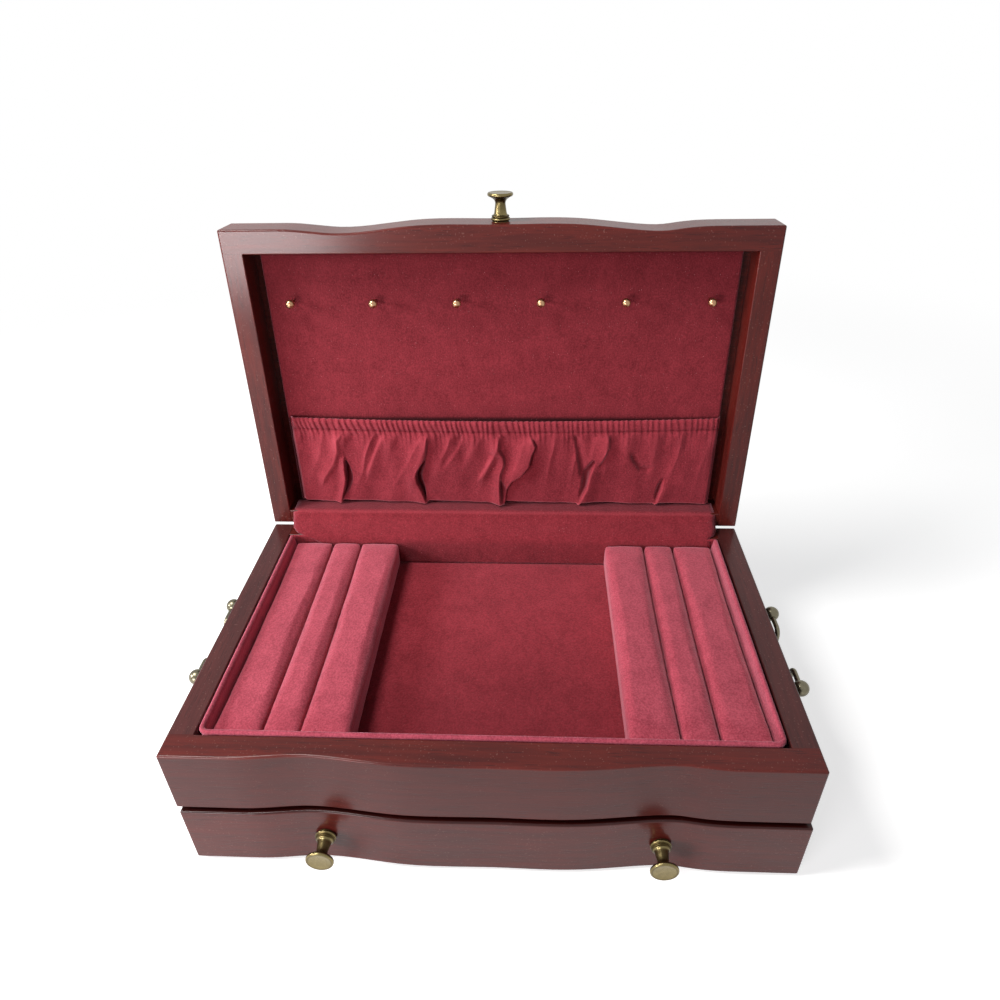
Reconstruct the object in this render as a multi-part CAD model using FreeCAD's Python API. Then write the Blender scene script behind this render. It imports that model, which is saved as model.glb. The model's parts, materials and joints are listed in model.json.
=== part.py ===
import FreeCAD, Part
import math
import os

# A wooden ring box: a case with a velvet tray, a hinged lid and one drawer, all with a serpentine front.
# Millimetres. X runs left to right, Y from front to back, Z up from the surface that the box stands on.
# The origin is the middle of the felt under the base.

Vector = FreeCAD.Vector
axis_x = Vector(1, 0, 0)

# ---- Driving dimensions -------------------------------------------------------------------------

# Overall
box_width = 305.0
box_depth = 186.2
case_height = 78.3
lid_height = 22.0
lid_open_angle = 93.0
felt_thickness = 2.0
felt_inset = 3.0

# Serpentine front: places are measured from the box's end, offsets from the front's corner plane
wave_flat = 32.5
wave_dip_from_end = 63.5
wave_shoulder_from_end = 106.5
wave_dip = 2.3
wave_shoulder = 1.2
wave_bow = 1.5

# Case boards
side_board = 13.0
back_board = 12.0
front_board = 13.0
bottom_board = 3.0
arris_radius = 1.0
inner_arris_radius = 0.6

# Tray
tray_depth = 19.8
tray_board = 4.0
mat_thickness = 1.5
cleat_width = 8.0
cleat_height = 10.0
liner_thickness = 2.5
liner_proud = 1.5
liner_side_gap = 2.5
liner_front_gap = 0.8
liner_round = 1.0
soft_gap = 0.3

# Ring pads: three rolls against each side of the tray, with the open compartment between them
roll_side_gap = 0.8
outer_roll_width = 23.7
middle_roll_width = 18.5
inner_roll_width = 25.0
roll_below_rim = 3.5
roll_round = 3.0

# Drawer
drawer_front_height = 37.8
drawer_gap = 2.2
drawer_proud = 1.2
drawer_seat_gap = 0.3
drawer_front_shift = 1.2
drawer_side_board = 8.0
drawer_back_board = 8.0
drawer_bottom_board = 3.0
drawer_rear_gap = 7.4
drawer_side_clearance = 1.5
drawer_floor_clearance = 1.0
drawer_back_headroom = 1.1
drawer_side_step = 3.7
drawer_lining = 1.2
drawer_lining_step = 1.0

# Runners and the stop
runner_projection = 4.5
runner_height = 6.0
runner_above_floor = 13.0
runner_back_gap = 3.0
groove_side_clearance = 0.5
groove_top_clearance = 0.2
groove_bottom_clearance = 0.6
stop_width = 40.0
stop_depth = 14.0
stop_overlap = 1.7

# Lid
lid_gap = 0.4
lid_side_board = 12.0
lid_front_board = 13.1
lid_back_board = 9.0
lid_top_board = 4.0
lid_top_round = 1.5
lining_thickness = 6.0
lining_side_gap = 5.0
lining_end_gap = 1.8
lining_round = 1.5

# Pocket in the lid
pocket_side_gap = 2.0
pocket_height = 60.2
pocket_bulge = 9.5
pocket_wall = 1.0
pocket_round = 3.0
hem_width = 8.0
hem_thickness = 2.0
elastic_width = 6.0
elastic_thickness = 0.6
elastic_end_gap = 1.0

# Necklace hooks in the lid
hook_count = 6
hook_end_inset = 15.5
hook_from_hinge = 144.5
hook_reach = 7.0
hook_ball_radius = 2.2
hook_stem_radius = 0.8
hook_depth = 2.5

# Hinges
pin_behind_back = 0.6
pin_above_rim = 1.6
pin_radius = 0.8
pin_clearance = 0.05
knuckle_radius = 1.9
knuckle_length = 10.0
knuckle_end_gap = 0.15
knuckle_relief = 0.4
leaf_thickness = 1.0
leaf_width = 8.0
leaf_fit = 0.1
hinge_from_end = 67.5
hinge_screw_pitch = 20.0
hinge_screw_from_back = 5.0
hinge_screw_head_radius = 1.9
hinge_screw_radius = 1.0
hinge_screw_length = 6.5
screw_fit = 0.05

# Velvet flap over the hinges
flap_thickness = 1.2
flap_end_gap = 0.5
flap_reach = 9.0
flap_foot = 2.4
flap_bulge = 1.0

# Knobs: one profile, from the seat outwards
knob_foot_radius = 4.2
knob_foot_length = 0.8
knob_bead_radius = 5.5
knob_bead_from_seat = 1.9
knob_collar_radius = 4.9
knob_collar_from_seat = 3.2
knob_neck_radius = 3.3
knob_neck_from_seat = 8.0
knob_shoulder_radius = 5.9
knob_shoulder_from_seat = 12.4
knob_rim_radius = 6.75
knob_rim_from_seat = 13.2
knob_face_radius = 6.2
knob_face_from_seat = 14.0
knob_length = 15.0
knob_seat_depth = 0.3
knob_seat_clearance = 0.2
knob_screw_radius = 1.5
knob_screw_bite = 6.0
knob_screw_head_radius = 3.2
knob_screw_head_thickness = 1.6
drawer_knob_from_end = 69.5
drawer_knob_height = 19.0
lid_knob_offset = 1.5
lid_knob_height = 11.0

# Side handles
handle_below_rim = 16.3
post_spacing = 58.0
post_reach = 9.5
post_ball_radius = 4.3
post_stem_radius = 1.5
post_neck_radius = 2.2
post_fit = 0.05
rosette_radius = 5.5
rosette_thickness = 1.4
rosette_round = 0.5
nut_across_flats = 5.0
nut_thickness = 2.0
bail_rod_radius = 1.4
bail_fit = 0.05
bail_end_past_post = 1.5
bail_shoulder = 11.0
bail_shoulder_radius = 4.0
bail_leg = 4.0

# Corner brads
brad_radius = 0.8
brad_length = 27.0
brad_set = 1.0
brad_from_corner = 8.5

# ---- Values worked out from them ----------------------------------------------------------------

half_width = box_width / 2
front_y = -box_depth / 2
back_y = box_depth / 2

case_bottom_z = felt_thickness
rim_z = case_bottom_z + case_height
inner_x = half_width - side_board
inner_front_y = front_y + front_board
inner_back_y = back_y - back_board
rail_bottom_z = case_bottom_z + drawer_front_height + drawer_gap

tray_floor_z = rim_z - tray_depth
tray_board_top_z = tray_floor_z - mat_thickness
tray_board_bottom_z = tray_board_top_z - tray_board
liner_top_z = rim_z + liner_proud
liner_outer_x = inner_x - liner_side_gap
liner_inner_x = liner_outer_x - liner_thickness
liner_front_outer_y = inner_front_y + liner_front_gap
liner_front_inner_y = liner_front_outer_y + liner_thickness
liner_rear_inner_y = inner_back_y - liner_thickness
roll_top_z = rim_z - roll_below_rim

drawer_front_y = front_y - drawer_proud
drawer_front_back_y = inner_front_y - drawer_seat_gap
drawer_outer_x = inner_x - drawer_side_clearance
drawer_inner_x = drawer_outer_x - drawer_side_board
drawer_bottom_z = case_bottom_z + bottom_board + drawer_floor_clearance
drawer_floor_z = drawer_bottom_z + drawer_bottom_board
drawer_back_top_z = rail_bottom_z - drawer_back_headroom
drawer_side_top_z = drawer_back_top_z - drawer_side_step
drawer_back_outer_y = inner_back_y - drawer_rear_gap
drawer_back_inner_y = drawer_back_outer_y - drawer_back_board

runner_bottom_z = case_bottom_z + bottom_board + runner_above_floor
runner_top_z = runner_bottom_z + runner_height
runner_tip_x = inner_x - runner_projection

lid_rim_z = rim_z + lid_gap
lid_panel_z = lid_rim_z + lid_height - lid_top_board
lid_inner_x = half_width - lid_side_board
lid_inner_front_y = front_y + lid_front_board
lid_inner_back_y = back_y - lid_back_board
lining_face_z = lid_panel_z - lining_thickness
lining_half_width = lid_inner_x - lining_side_gap
pocket_half_width = lining_half_width - pocket_side_gap
pocket_bottom_y = lid_inner_back_y - lining_end_gap
pocket_top_y = pocket_bottom_y - pocket_height
pocket_face_z = lining_face_z - pocket_bulge

pin_y = back_y + pin_behind_back
pin_z = rim_z + pin_above_rim
hinge_offset_x = half_width - hinge_from_end
hinge_length = 3 * knuckle_length

handle_z = rim_z - handle_below_rim
post_y = post_spacing / 2
post_centre_x = half_width + post_reach
drawer_knob_z = case_bottom_z + drawer_knob_height
lid_knob_z = lid_rim_z + lid_knob_height


# ---- Helpers ------------------------------------------------------------------------------------

def block(x0, x1, y0, y1, z0, z1):
    """A box between two corners, whichever way round they are given."""
    low = Vector(min(x0, x1), min(y0, y1), min(z0, z1))
    return Part.makeBox(abs(x1 - x0), abs(y1 - y0), abs(z1 - z0), low)


def rod(start, end, radius):
    """A round rod between two points."""
    return Part.makeCylinder(radius, (end - start).Length, start, end - start)


def serpentine(plane_y, z):
    """The serpentine line along a front, as three tangent edges from left to right."""
    flat_x = half_width - wave_flat
    dip_x = half_width - wave_dip_from_end
    shoulder_x = half_width - wave_shoulder_from_end
    right = [(shoulder_x, -wave_shoulder), (dip_x, wave_dip), (flat_x, 0.0)]
    left = [(-x, offset) for x, offset in reversed(right)]
    points = [Vector(x, plane_y + offset, z) for x, offset in left + [(0.0, -wave_bow)] + right]
    curve = Part.BSplineCurve()
    curve.interpolate(Points=points, InitialTangent=axis_x, FinalTangent=axis_x)
    first = Part.LineSegment(Vector(-half_width, plane_y, z), points[0])
    last = Part.LineSegment(points[-1], Vector(half_width, plane_y, z))
    return [first.toShape(), curve.toShape(), last.toShape()]


def serpentine_board(plane_y, rear_y, z0, z1):
    """A full-width board with a serpentine front and a straight rear face."""
    left = Vector(-half_width, rear_y, z0)
    right = Vector(half_width, rear_y, z0)
    front = serpentine(plane_y, z0)
    rest = Part.makePolygon([front[-1].Vertexes[-1].Point, right, left, front[0].Vertexes[0].Point])
    outline = Part.Wire(front + rest.Edges)
    return Part.Face(outline).extrude(Vector(0, 0, z1 - z0))


def edges_where(shape, test):
    """The edges whose middle point passes a test."""
    return [edge for edge in shape.Edges if test(edge.CenterOfMass)]


def round_edges(shape, radius, test):
    """A fillet on the edges whose middle point passes a test."""
    return shape.makeFillet(radius, edges_where(shape, test))


def near(value, target, reach=0.01):
    """Whether a value is at a target, within a small reach."""
    return abs(value - target) < reach


def round_front(board, plane_y, rear_y, levels):
    """Rounds a serpentine board's front corners, and its front and end edges at the given levels."""

    def test(point):
        corner = near(abs(point.x), half_width) and near(point.y, plane_y)
        level = any(near(point.z, z) for z in levels)
        return corner or (level and not near(point.y, rear_y))

    return round_edges(board, arris_radius, test)


def inner_arris(half_length, edge_y, edge_z, way_y, way_z):
    """What rounding takes off a rail's inner edge; way_y and way_z point from the edge into the rail."""
    radius = inner_arris_radius
    middle_y = edge_y + way_y * radius
    middle_z = edge_z + way_z * radius
    corner = block(-half_length, half_length, edge_y, middle_y, edge_z, middle_z)
    start = Vector(-half_length, middle_y, middle_z)
    return corner.cut(rod(start, start + Vector(2 * half_length, 0, 0), radius))


def open_lid(shape):
    """Turns a shape built on the closed lid to the lid's open stop."""
    turned = shape.copy()
    turned.rotate(Vector(0, pin_y, pin_z), axis_x, -lid_open_angle)
    return turned


def group(shapes):
    """Separate solids that share one node."""
    return Part.makeCompound(shapes)


def mirrored(shape):
    """The same shape on the other side of the box."""
    return shape.mirror(Vector(0, 0, 0), axis_x)


def wood_screw(head_top, direction, head_radius, shank_radius, head_length, length):
    """A countersunk screw: its head's top centre, the way it is driven and its sizes."""
    head = Part.makeCone(head_radius, shank_radius, head_length, head_top, direction)
    shank = Part.makeCylinder(shank_radius, length, head_top, direction)
    return head.fuse(shank)


# ---- Hinges -------------------------------------------------------------------------------------

def knuckle(centre_x, slot):
    """One of the three knuckles of a hinge: slot -1 left, 0 middle, 1 right."""
    middle = centre_x + slot * knuckle_length
    reach = knuckle_length / 2 - knuckle_end_gap
    return rod(Vector(middle - reach, pin_y, pin_z), Vector(middle + reach, pin_y, pin_z), knuckle_radius)


def pin_hole(centre_x):
    """The hole through a hinge's knuckles."""
    reach = hinge_length / 2 + knuckle_end_gap
    start = Vector(centre_x - reach, pin_y, pin_z)
    return rod(start, Vector(centre_x + reach, pin_y, pin_z), pin_radius + pin_clearance)


def hinge_screws(centre_x, face_z, way):
    """The two screws of a leaf: way is -1 when driven down into the case, 1 up into the lid."""
    screws = []
    for side in (-1, 1):
        top = Vector(centre_x + side * hinge_screw_pitch / 2, back_y - hinge_screw_from_back, face_z)
        screws.append(wood_screw(top, Vector(0, 0, way), hinge_screw_head_radius, hinge_screw_radius,
                                 leaf_thickness, hinge_screw_length))
    return screws


def hinge_screw_holes(centre_x, face_z, way):
    """Clearance for the screws of a leaf."""
    holes = []
    for side in (-1, 1):
        top = Vector(centre_x + side * hinge_screw_pitch / 2, back_y - hinge_screw_from_back, face_z)
        holes.append(wood_screw(top, Vector(0, 0, way), hinge_screw_head_radius + screw_fit,
                                hinge_screw_radius + screw_fit, leaf_thickness + screw_fit,
                                hinge_screw_length + screw_fit))
    return group(holes)


def hinge_plate(centre_x, z0, z1):
    """The flat part of a leaf, as far as the line of the pin."""
    reach = hinge_length / 2 - knuckle_end_gap
    return block(centre_x - reach, centre_x + reach, back_y - leaf_width, pin_y, z0, z1)


def lower_leaf(centre_x):
    """The leaf let into the case's back board, with the two outer knuckles."""
    plate = hinge_plate(centre_x, rim_z - leaf_thickness, rim_z)
    room = knuckle_length / 2
    gap = block(centre_x - room, centre_x + room, back_y - knuckle_radius, pin_y + knuckle_radius,
                rim_z - leaf_thickness, pin_z + knuckle_radius)
    leaf = plate.cut(gap).fuse([knuckle(centre_x, -1), knuckle(centre_x, 1)])
    return leaf.cut(pin_hole(centre_x)).cut(hinge_screw_holes(centre_x, rim_z, -1)).removeSplitter()


def upper_leaf(centre_x):
    """The leaf let into the lid's back rail, with the middle knuckle."""
    plate = hinge_plate(centre_x, lid_rim_z, lid_rim_z + leaf_thickness)
    gaps = []
    for side in (-1, 1):
        near_x = centre_x + side * knuckle_length / 2
        far_x = centre_x + side * hinge_length / 2
        gaps.append(block(near_x, far_x, back_y - knuckle_radius - knuckle_relief, pin_y + knuckle_radius,
                          lid_rim_z, pin_z + knuckle_radius))
    leaf = plate.cut(group(gaps)).fuse(knuckle(centre_x, 0))
    return leaf.cut(pin_hole(centre_x)).cut(hinge_screw_holes(centre_x, lid_rim_z, 1)).removeSplitter()


def hinge_pin(centre_x):
    """The pin through the knuckles."""
    reach = hinge_length / 2 - knuckle_end_gap
    return rod(Vector(centre_x - reach, pin_y, pin_z), Vector(centre_x + reach, pin_y, pin_z), pin_radius)


def leaf_mortise(centre_x, z0, z1):
    """Room for a leaf in the edge of a board."""
    reach = hinge_length / 2 + leaf_fit
    return block(centre_x - reach, centre_x + reach, back_y - leaf_width - leaf_fit, back_y + 1, z0, z1)


def knuckle_room(centre_x):
    """Room for the knuckles in the boards that meet behind them."""
    reach = hinge_length / 2 + leaf_fit
    start = Vector(centre_x - reach, pin_y, pin_z)
    return rod(start, Vector(centre_x + reach, pin_y, pin_z), knuckle_radius + knuckle_relief)


# ---- Corner brads -------------------------------------------------------------------------------

def brads(plane_y, z_low, z_high, clearance=0.0):
    """Two brads at each front corner, set under the surface and driven into the side's end."""
    rods = []
    for side in (-1, 1):
        x = side * (half_width - brad_from_corner)
        for z in (z_low, z_high):
            start = Vector(x, plane_y + brad_set, z)
            rods.append(rod(start, start + Vector(0, brad_length, 0), brad_radius + clearance))
    return group(rods)


case_brad_low_z = rail_bottom_z + brad_from_corner
case_brad_high_z = rim_z - brad_from_corner
lid_brad_low_z = lid_rim_z + brad_from_corner / 2
lid_brad_high_z = lid_panel_z - brad_from_corner / 2


# ---- Case ---------------------------------------------------------------------------------------

def base_felt():
    """The felt sheet that the box stands on."""
    return block(-half_width + felt_inset, half_width - felt_inset, inner_front_y + felt_inset,
                 back_y - felt_inset, 0, felt_thickness)


def side_of_case():
    """The right side board, with holes for the handle's posts and the brads."""
    board = block(inner_x, half_width, inner_front_y, back_y, case_bottom_z, rim_z)
    board = round_edges(board, arris_radius,
                        lambda p: near(p.x, half_width) and (near(p.z, rim_z) or near(p.y, back_y)))
    board = round_edges(board, inner_arris_radius, lambda p: near(p.x, inner_x) and near(p.z, rim_z))
    for side in (-1, 1):
        inside = Vector(inner_x - 1, side * post_y, handle_z)
        outside = Vector(half_width + 1, side * post_y, handle_z)
        board = board.cut(rod(inside, outside, post_stem_radius + post_fit))
    return board.cut(brads(front_y, case_brad_low_z, case_brad_high_z, screw_fit))


def case_back():
    """The back board between the sides, with mortises for the hinges."""
    board = block(-inner_x, inner_x, inner_back_y, back_y, case_bottom_z, rim_z)
    board = round_edges(board, inner_arris_radius, lambda p: near(p.y, inner_back_y) and near(p.z, rim_z))
    for centre_x in (-hinge_offset_x, hinge_offset_x):
        board = board.cut(leaf_mortise(centre_x, rim_z - leaf_thickness, rim_z + 1))
        board = board.cut(hinge_screw_holes(centre_x, rim_z, -1))
    return board


def case_front_rail():
    """The fixed serpentine front above the drawer."""
    rail = serpentine_board(front_y, inner_front_y, rail_bottom_z, rim_z)
    rail = round_front(rail, front_y, inner_front_y, [rail_bottom_z, rim_z])
    rail = rail.cut(inner_arris(inner_x, inner_front_y, rim_z, -1, -1))
    return rail.cut(brads(front_y, case_brad_low_z, case_brad_high_z, screw_fit))


def case_bottom():
    """The plywood bottom, between the sides and in front of the back board."""
    return block(-inner_x, inner_x, inner_front_y, inner_back_y, case_bottom_z, case_bottom_z + bottom_board)


def tray_deck():
    """The plywood board under the tray."""
    return block(-inner_x, inner_x, inner_front_y, inner_back_y, tray_board_bottom_z, tray_board_top_z)


def tray_cleat():
    """The right cleat that carries the tray board."""
    return block(inner_x - cleat_width, inner_x, inner_front_y, inner_back_y,
                 tray_board_bottom_z - cleat_height, tray_board_bottom_z)


def drawer_stop():
    """The block behind the front rail that stops the drawer's back board."""
    return block(-stop_width / 2, stop_width / 2, inner_front_y, inner_front_y + stop_depth,
                 drawer_back_top_z - stop_overlap, tray_board_bottom_z)


def drawer_runner():
    """The right runner, which the groove in the drawer's side slides on."""
    return block(runner_tip_x, inner_x, inner_front_y, inner_back_y - runner_back_gap,
                 runner_bottom_z, runner_top_z)


# ---- Tray ---------------------------------------------------------------------------------------

def tray_mat():
    """The velvet floor of the tray, between the liner walls."""
    return block(-liner_inner_x, liner_inner_x, liner_front_inner_y, liner_rear_inner_y,
                 tray_board_top_z, tray_floor_z)


def liner_side():
    """The right velvet wall of the tray, standing a little proud of the rim."""
    wall = block(liner_inner_x, liner_outer_x, liner_front_inner_y, liner_rear_inner_y,
                 tray_board_top_z, liner_top_z)
    return round_edges(wall, liner_round, lambda p: near(p.z, liner_top_z)
                       and (near(p.x, liner_inner_x) or near(p.x, liner_outer_x)))


def liner_front():
    """The front velvet wall of the tray, rounded at its ends."""
    wall = block(-liner_outer_x, liner_outer_x, liner_front_outer_y, liner_front_inner_y,
                 tray_board_top_z, liner_top_z)
    wall = round_edges(wall, liner_thickness * 0.9,
                       lambda p: near(abs(p.x), liner_outer_x) and near(p.y, liner_front_outer_y))
    return round_edges(wall, liner_round,
                       lambda p: near(p.z, liner_top_z) and near(p.y, liner_front_inner_y))


def liner_rear():
    """The rear velvet wall of the tray, up to the rim, where the flap takes over."""
    return block(-liner_outer_x, liner_outer_x, liner_rear_inner_y, inner_back_y, tray_board_top_z, rim_z)


def ring_roll(x0, width):
    """One roll of a ring pad; x0 is its edge nearer the compartment."""
    y0 = liner_front_inner_y + soft_gap
    y1 = liner_rear_inner_y - soft_gap
    roll = block(x0, x0 + width, y0, y1, tray_floor_z, roll_top_z)
    return round_edges(roll, roll_round, lambda p: near(p.z, roll_top_z))


def ring_rolls():
    """The three rolls of the right ring pad, by name."""
    outer_x = liner_inner_x - roll_side_gap - outer_roll_width
    middle_x = outer_x - middle_roll_width
    inner_x0 = middle_x - inner_roll_width
    return {"outer": ring_roll(outer_x, outer_roll_width), "middle": ring_roll(middle_x, middle_roll_width),
            "inner": ring_roll(inner_x0, inner_roll_width)}


def lid_line_point(from_hinge, depth):
    """A point of the open lid's middle section: along the lid from its hinge edge, and into it."""
    point = Part.Vertex(0, back_y - from_hinge, lid_rim_z + depth)
    return open_lid(point).Point


def hinge_flap():
    """The velvet strip from the tray's rear wall, over the hinges, to the ledge inside the lid."""
    foot_z = rim_z + soft_gap
    ledge = lid_back_board + soft_gap
    outline = [Vector(0, liner_rear_inner_y, foot_z),
               Vector(0, liner_rear_inner_y, foot_z + flap_bulge),
               lid_line_point(ledge + flap_thickness, -flap_bulge),
               lid_line_point(ledge + flap_thickness, flap_reach),
               lid_line_point(ledge, flap_reach),
               lid_line_point(ledge, soft_gap),
               Vector(0, liner_rear_inner_y + flap_foot, foot_z)]
    face = Part.Face(Part.makePolygon(outline + outline[:1]))
    length = 2 * (inner_x - flap_end_gap)
    strip = face.extrude(Vector(length, 0, 0))
    strip.translate(Vector(-length / 2, 0, 0))
    return strip


# ---- Side handles -------------------------------------------------------------------------------

def bail_path():
    """The bail's centre line on the right side: two shoulders, two legs and a half round."""
    x = post_centre_x
    shoulder_y = post_y - bail_shoulder
    leg_y = shoulder_y - bail_shoulder_radius
    leg_top_z = handle_z - bail_shoulder_radius
    leg_bottom_z = leg_top_z - bail_leg
    slack = bail_shoulder_radius * (1 - math.sqrt(0.5))

    def at(y, z):
        return Vector(x, y, z)

    end_y = post_y + bail_end_past_post
    parts = [Part.LineSegment(at(end_y, handle_z), at(shoulder_y, handle_z)),
             Part.Arc(at(shoulder_y, handle_z), at(leg_y + slack, handle_z - slack), at(leg_y, leg_top_z)),
             Part.LineSegment(at(leg_y, leg_top_z), at(leg_y, leg_bottom_z)),
             Part.Arc(at(leg_y, leg_bottom_z), at(0, leg_bottom_z - leg_y), at(-leg_y, leg_bottom_z)),
             Part.LineSegment(at(-leg_y, leg_bottom_z), at(-leg_y, leg_top_z)),
             Part.Arc(at(-leg_y, leg_top_z), at(-leg_y - slack, handle_z - slack), at(-shoulder_y, handle_z)),
             Part.LineSegment(at(-shoulder_y, handle_z), at(-end_y, handle_z))]
    return Part.Wire([part.toShape() for part in parts])


def bail():
    """The right bail, hanging."""
    path = bail_path()
    start = Vector(post_centre_x, post_y + bail_end_past_post, handle_z)
    section = Part.Wire(Part.makeCircle(bail_rod_radius, start, Vector(0, 1, 0)))
    return path.makePipeShell([section], True, True)


def handle_posts():
    """The two posts of the right handle: a ball on a stem that goes through the side board."""
    posts = []
    for side in (-1, 1):
        y = side * post_y
        stem_end = Vector(inner_x - nut_thickness - post_fit, y, handle_z)
        centre = Vector(post_centre_x, y, handle_z)
        stem = rod(stem_end, centre, post_stem_radius)
        neck = rod(Vector(half_width + rosette_thickness, y, handle_z), centre, post_neck_radius)
        ball = Part.makeSphere(post_ball_radius, centre)
        bottom = Vector(post_centre_x, side * (post_y + bail_end_past_post + bail_fit), handle_z)
        mouth = Vector(post_centre_x, side * (post_y - post_ball_radius - 1), handle_z)
        hole = rod(bottom, mouth, bail_rod_radius + bail_fit)
        posts.append(stem.fuse([neck, ball]).cut(hole).removeSplitter())
    return group(posts)


def handle_rosettes():
    """The two rosettes under the posts of the right handle."""
    rosettes = []
    for side in (-1, 1):
        seat = Vector(half_width, side * post_y, handle_z)
        disc = Part.makeCylinder(rosette_radius, rosette_thickness, seat, axis_x)
        disc = round_edges(disc, rosette_round, lambda p: near(p.x, half_width + rosette_thickness))
        hole = Part.makeCylinder(post_stem_radius + post_fit, rosette_thickness, seat, axis_x)
        rosettes.append(disc.cut(hole))
    return group(rosettes)


def handle_nuts():
    """The two nuts of the right handle, between the side board and the liner."""
    nuts = []
    corner_radius = nut_across_flats / math.sqrt(3)
    for side in (-1, 1):
        centre = Vector(inner_x - nut_thickness, side * post_y, handle_z)
        corners = []
        for step in range(7):
            turn = math.radians(60 * step)
            corners.append(centre + Vector(0, corner_radius * math.cos(turn), corner_radius * math.sin(turn)))
        nut = Part.Face(Part.makePolygon(corners)).extrude(Vector(nut_thickness, 0, 0))
        hole = Part.makeCylinder(post_stem_radius + post_fit, nut_thickness, centre, axis_x)
        nuts.append(nut.cut(hole))
    return group(nuts)


# ---- Knobs --------------------------------------------------------------------------------------

def dome_drop(radius, chord, rise):
    """How far below its tip a spherical dome lies at a radius; chord is the radius of its edge."""
    sphere = (chord ** 2 + rise ** 2) / (2 * rise)
    return sphere - math.sqrt(sphere ** 2 - radius ** 2)


def knob(seat):
    """A turned knob on a seat that faces the front."""

    def at(radius, from_seat):
        return seat + Vector(radius, -from_seat, 0)

    foot = at(knob_foot_radius, knob_foot_length)
    bead = at(knob_bead_radius, knob_bead_from_seat)
    collar = at(knob_collar_radius, knob_collar_from_seat)
    neck = at(knob_neck_radius, knob_neck_from_seat)
    shoulder = at(knob_shoulder_radius, knob_shoulder_from_seat)
    rim = at(knob_rim_radius, knob_rim_from_seat)
    face = at(knob_face_radius, knob_face_from_seat)
    half = knob_face_radius / 2
    crown = at(half, knob_length - dome_drop(half, knob_face_radius, knob_length - knob_face_from_seat))
    tip = at(0, knob_length)
    profile = [Part.LineSegment(seat, at(knob_foot_radius, 0)),
               Part.LineSegment(at(knob_foot_radius, 0), foot),
               Part.Arc(foot, bead, collar),
               Part.Arc(collar, neck, shoulder),
               Part.Arc(shoulder, rim, face),
               Part.Arc(face, crown, tip),
               Part.LineSegment(tip, seat)]
    section = Part.Face(Part.Wire([part.toShape() for part in profile]))
    body = section.revolve(seat, Vector(0, 1, 0), 360)
    hole = rod(seat, seat + Vector(0, -knob_screw_bite - screw_fit, 0), knob_screw_radius + screw_fit)
    return body.cut(hole)


def knob_seat_cut(seat):
    """The flat seat sunk in a serpentine face under a knob."""
    radius = knob_foot_radius + knob_seat_clearance
    return Part.makeCylinder(radius, knob_bead_from_seat, seat, Vector(0, -1, 0))


def knob_screw(seat, rear_y):
    """The screw from behind a board into its knob."""
    behind = Vector(seat.x, rear_y, seat.z)
    shank = rod(behind, seat + Vector(0, -knob_screw_bite, 0), knob_screw_radius)
    head = Part.makeCylinder(knob_screw_head_radius, knob_screw_head_thickness, behind, Vector(0, 1, 0))
    head = round_edges(head, knob_screw_head_thickness / 2,
                       lambda p: near(p.y, rear_y + knob_screw_head_thickness))
    return head.fuse(shank)


def knob_screw_hole(seat, rear_y):
    """Clearance for that screw through its board."""
    return rod(Vector(seat.x, rear_y + 1, seat.z), seat + Vector(0, -knob_bead_from_seat, 0),
               knob_screw_radius + screw_fit)


def drawer_knob_seat(side):
    """The seat of the left (-1) or right (1) drawer knob, at the bottom of its dip."""
    x = drawer_front_shift + side * (half_width - drawer_knob_from_end)
    return Vector(x, drawer_front_y + wave_dip + knob_seat_depth, drawer_knob_z)


lid_knob_seat = Vector(lid_knob_offset, front_y - wave_bow + knob_seat_depth, lid_knob_z)


# ---- Drawer -------------------------------------------------------------------------------------

def drawer_front():
    """The full-width serpentine drawer front, which laps over the case's sides."""
    top_z = case_bottom_z + drawer_front_height
    front = serpentine_board(drawer_front_y, drawer_front_back_y, case_bottom_z, top_z)
    front = round_front(front, drawer_front_y, drawer_front_back_y, [case_bottom_z, top_z])
    front.translate(Vector(drawer_front_shift, 0, 0))
    for side in (-1, 1):
        seat = drawer_knob_seat(side)
        front = front.cut(knob_seat_cut(seat)).cut(knob_screw_hole(seat, drawer_front_back_y))
    return front


def drawer_side():
    """The right drawer side, grooved for its runner."""
    side = block(drawer_inner_x, drawer_outer_x, drawer_front_back_y, drawer_back_outer_y,
                 drawer_bottom_z, drawer_side_top_z)
    groove = block(runner_tip_x - groove_side_clearance, drawer_outer_x + 1, drawer_front_back_y,
                   drawer_back_outer_y + 1, runner_bottom_z - groove_bottom_clearance,
                   runner_top_z + groove_top_clearance)
    return side.cut(groove)


def drawer_back():
    """The drawer's back board, tall enough to meet the stop."""
    return block(-drawer_inner_x, drawer_inner_x, drawer_back_inner_y, drawer_back_outer_y,
                 drawer_bottom_z, drawer_back_top_z)


def drawer_bottom():
    """The drawer's plywood bottom."""
    return block(-drawer_inner_x, drawer_inner_x, drawer_front_back_y, drawer_back_inner_y,
                 drawer_bottom_z, drawer_floor_z)


def drawer_mat():
    """The velvet on the drawer's floor."""
    return block(-drawer_inner_x, drawer_inner_x, drawer_front_back_y, drawer_back_inner_y,
                 drawer_floor_z, drawer_floor_z + mat_thickness)


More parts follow.
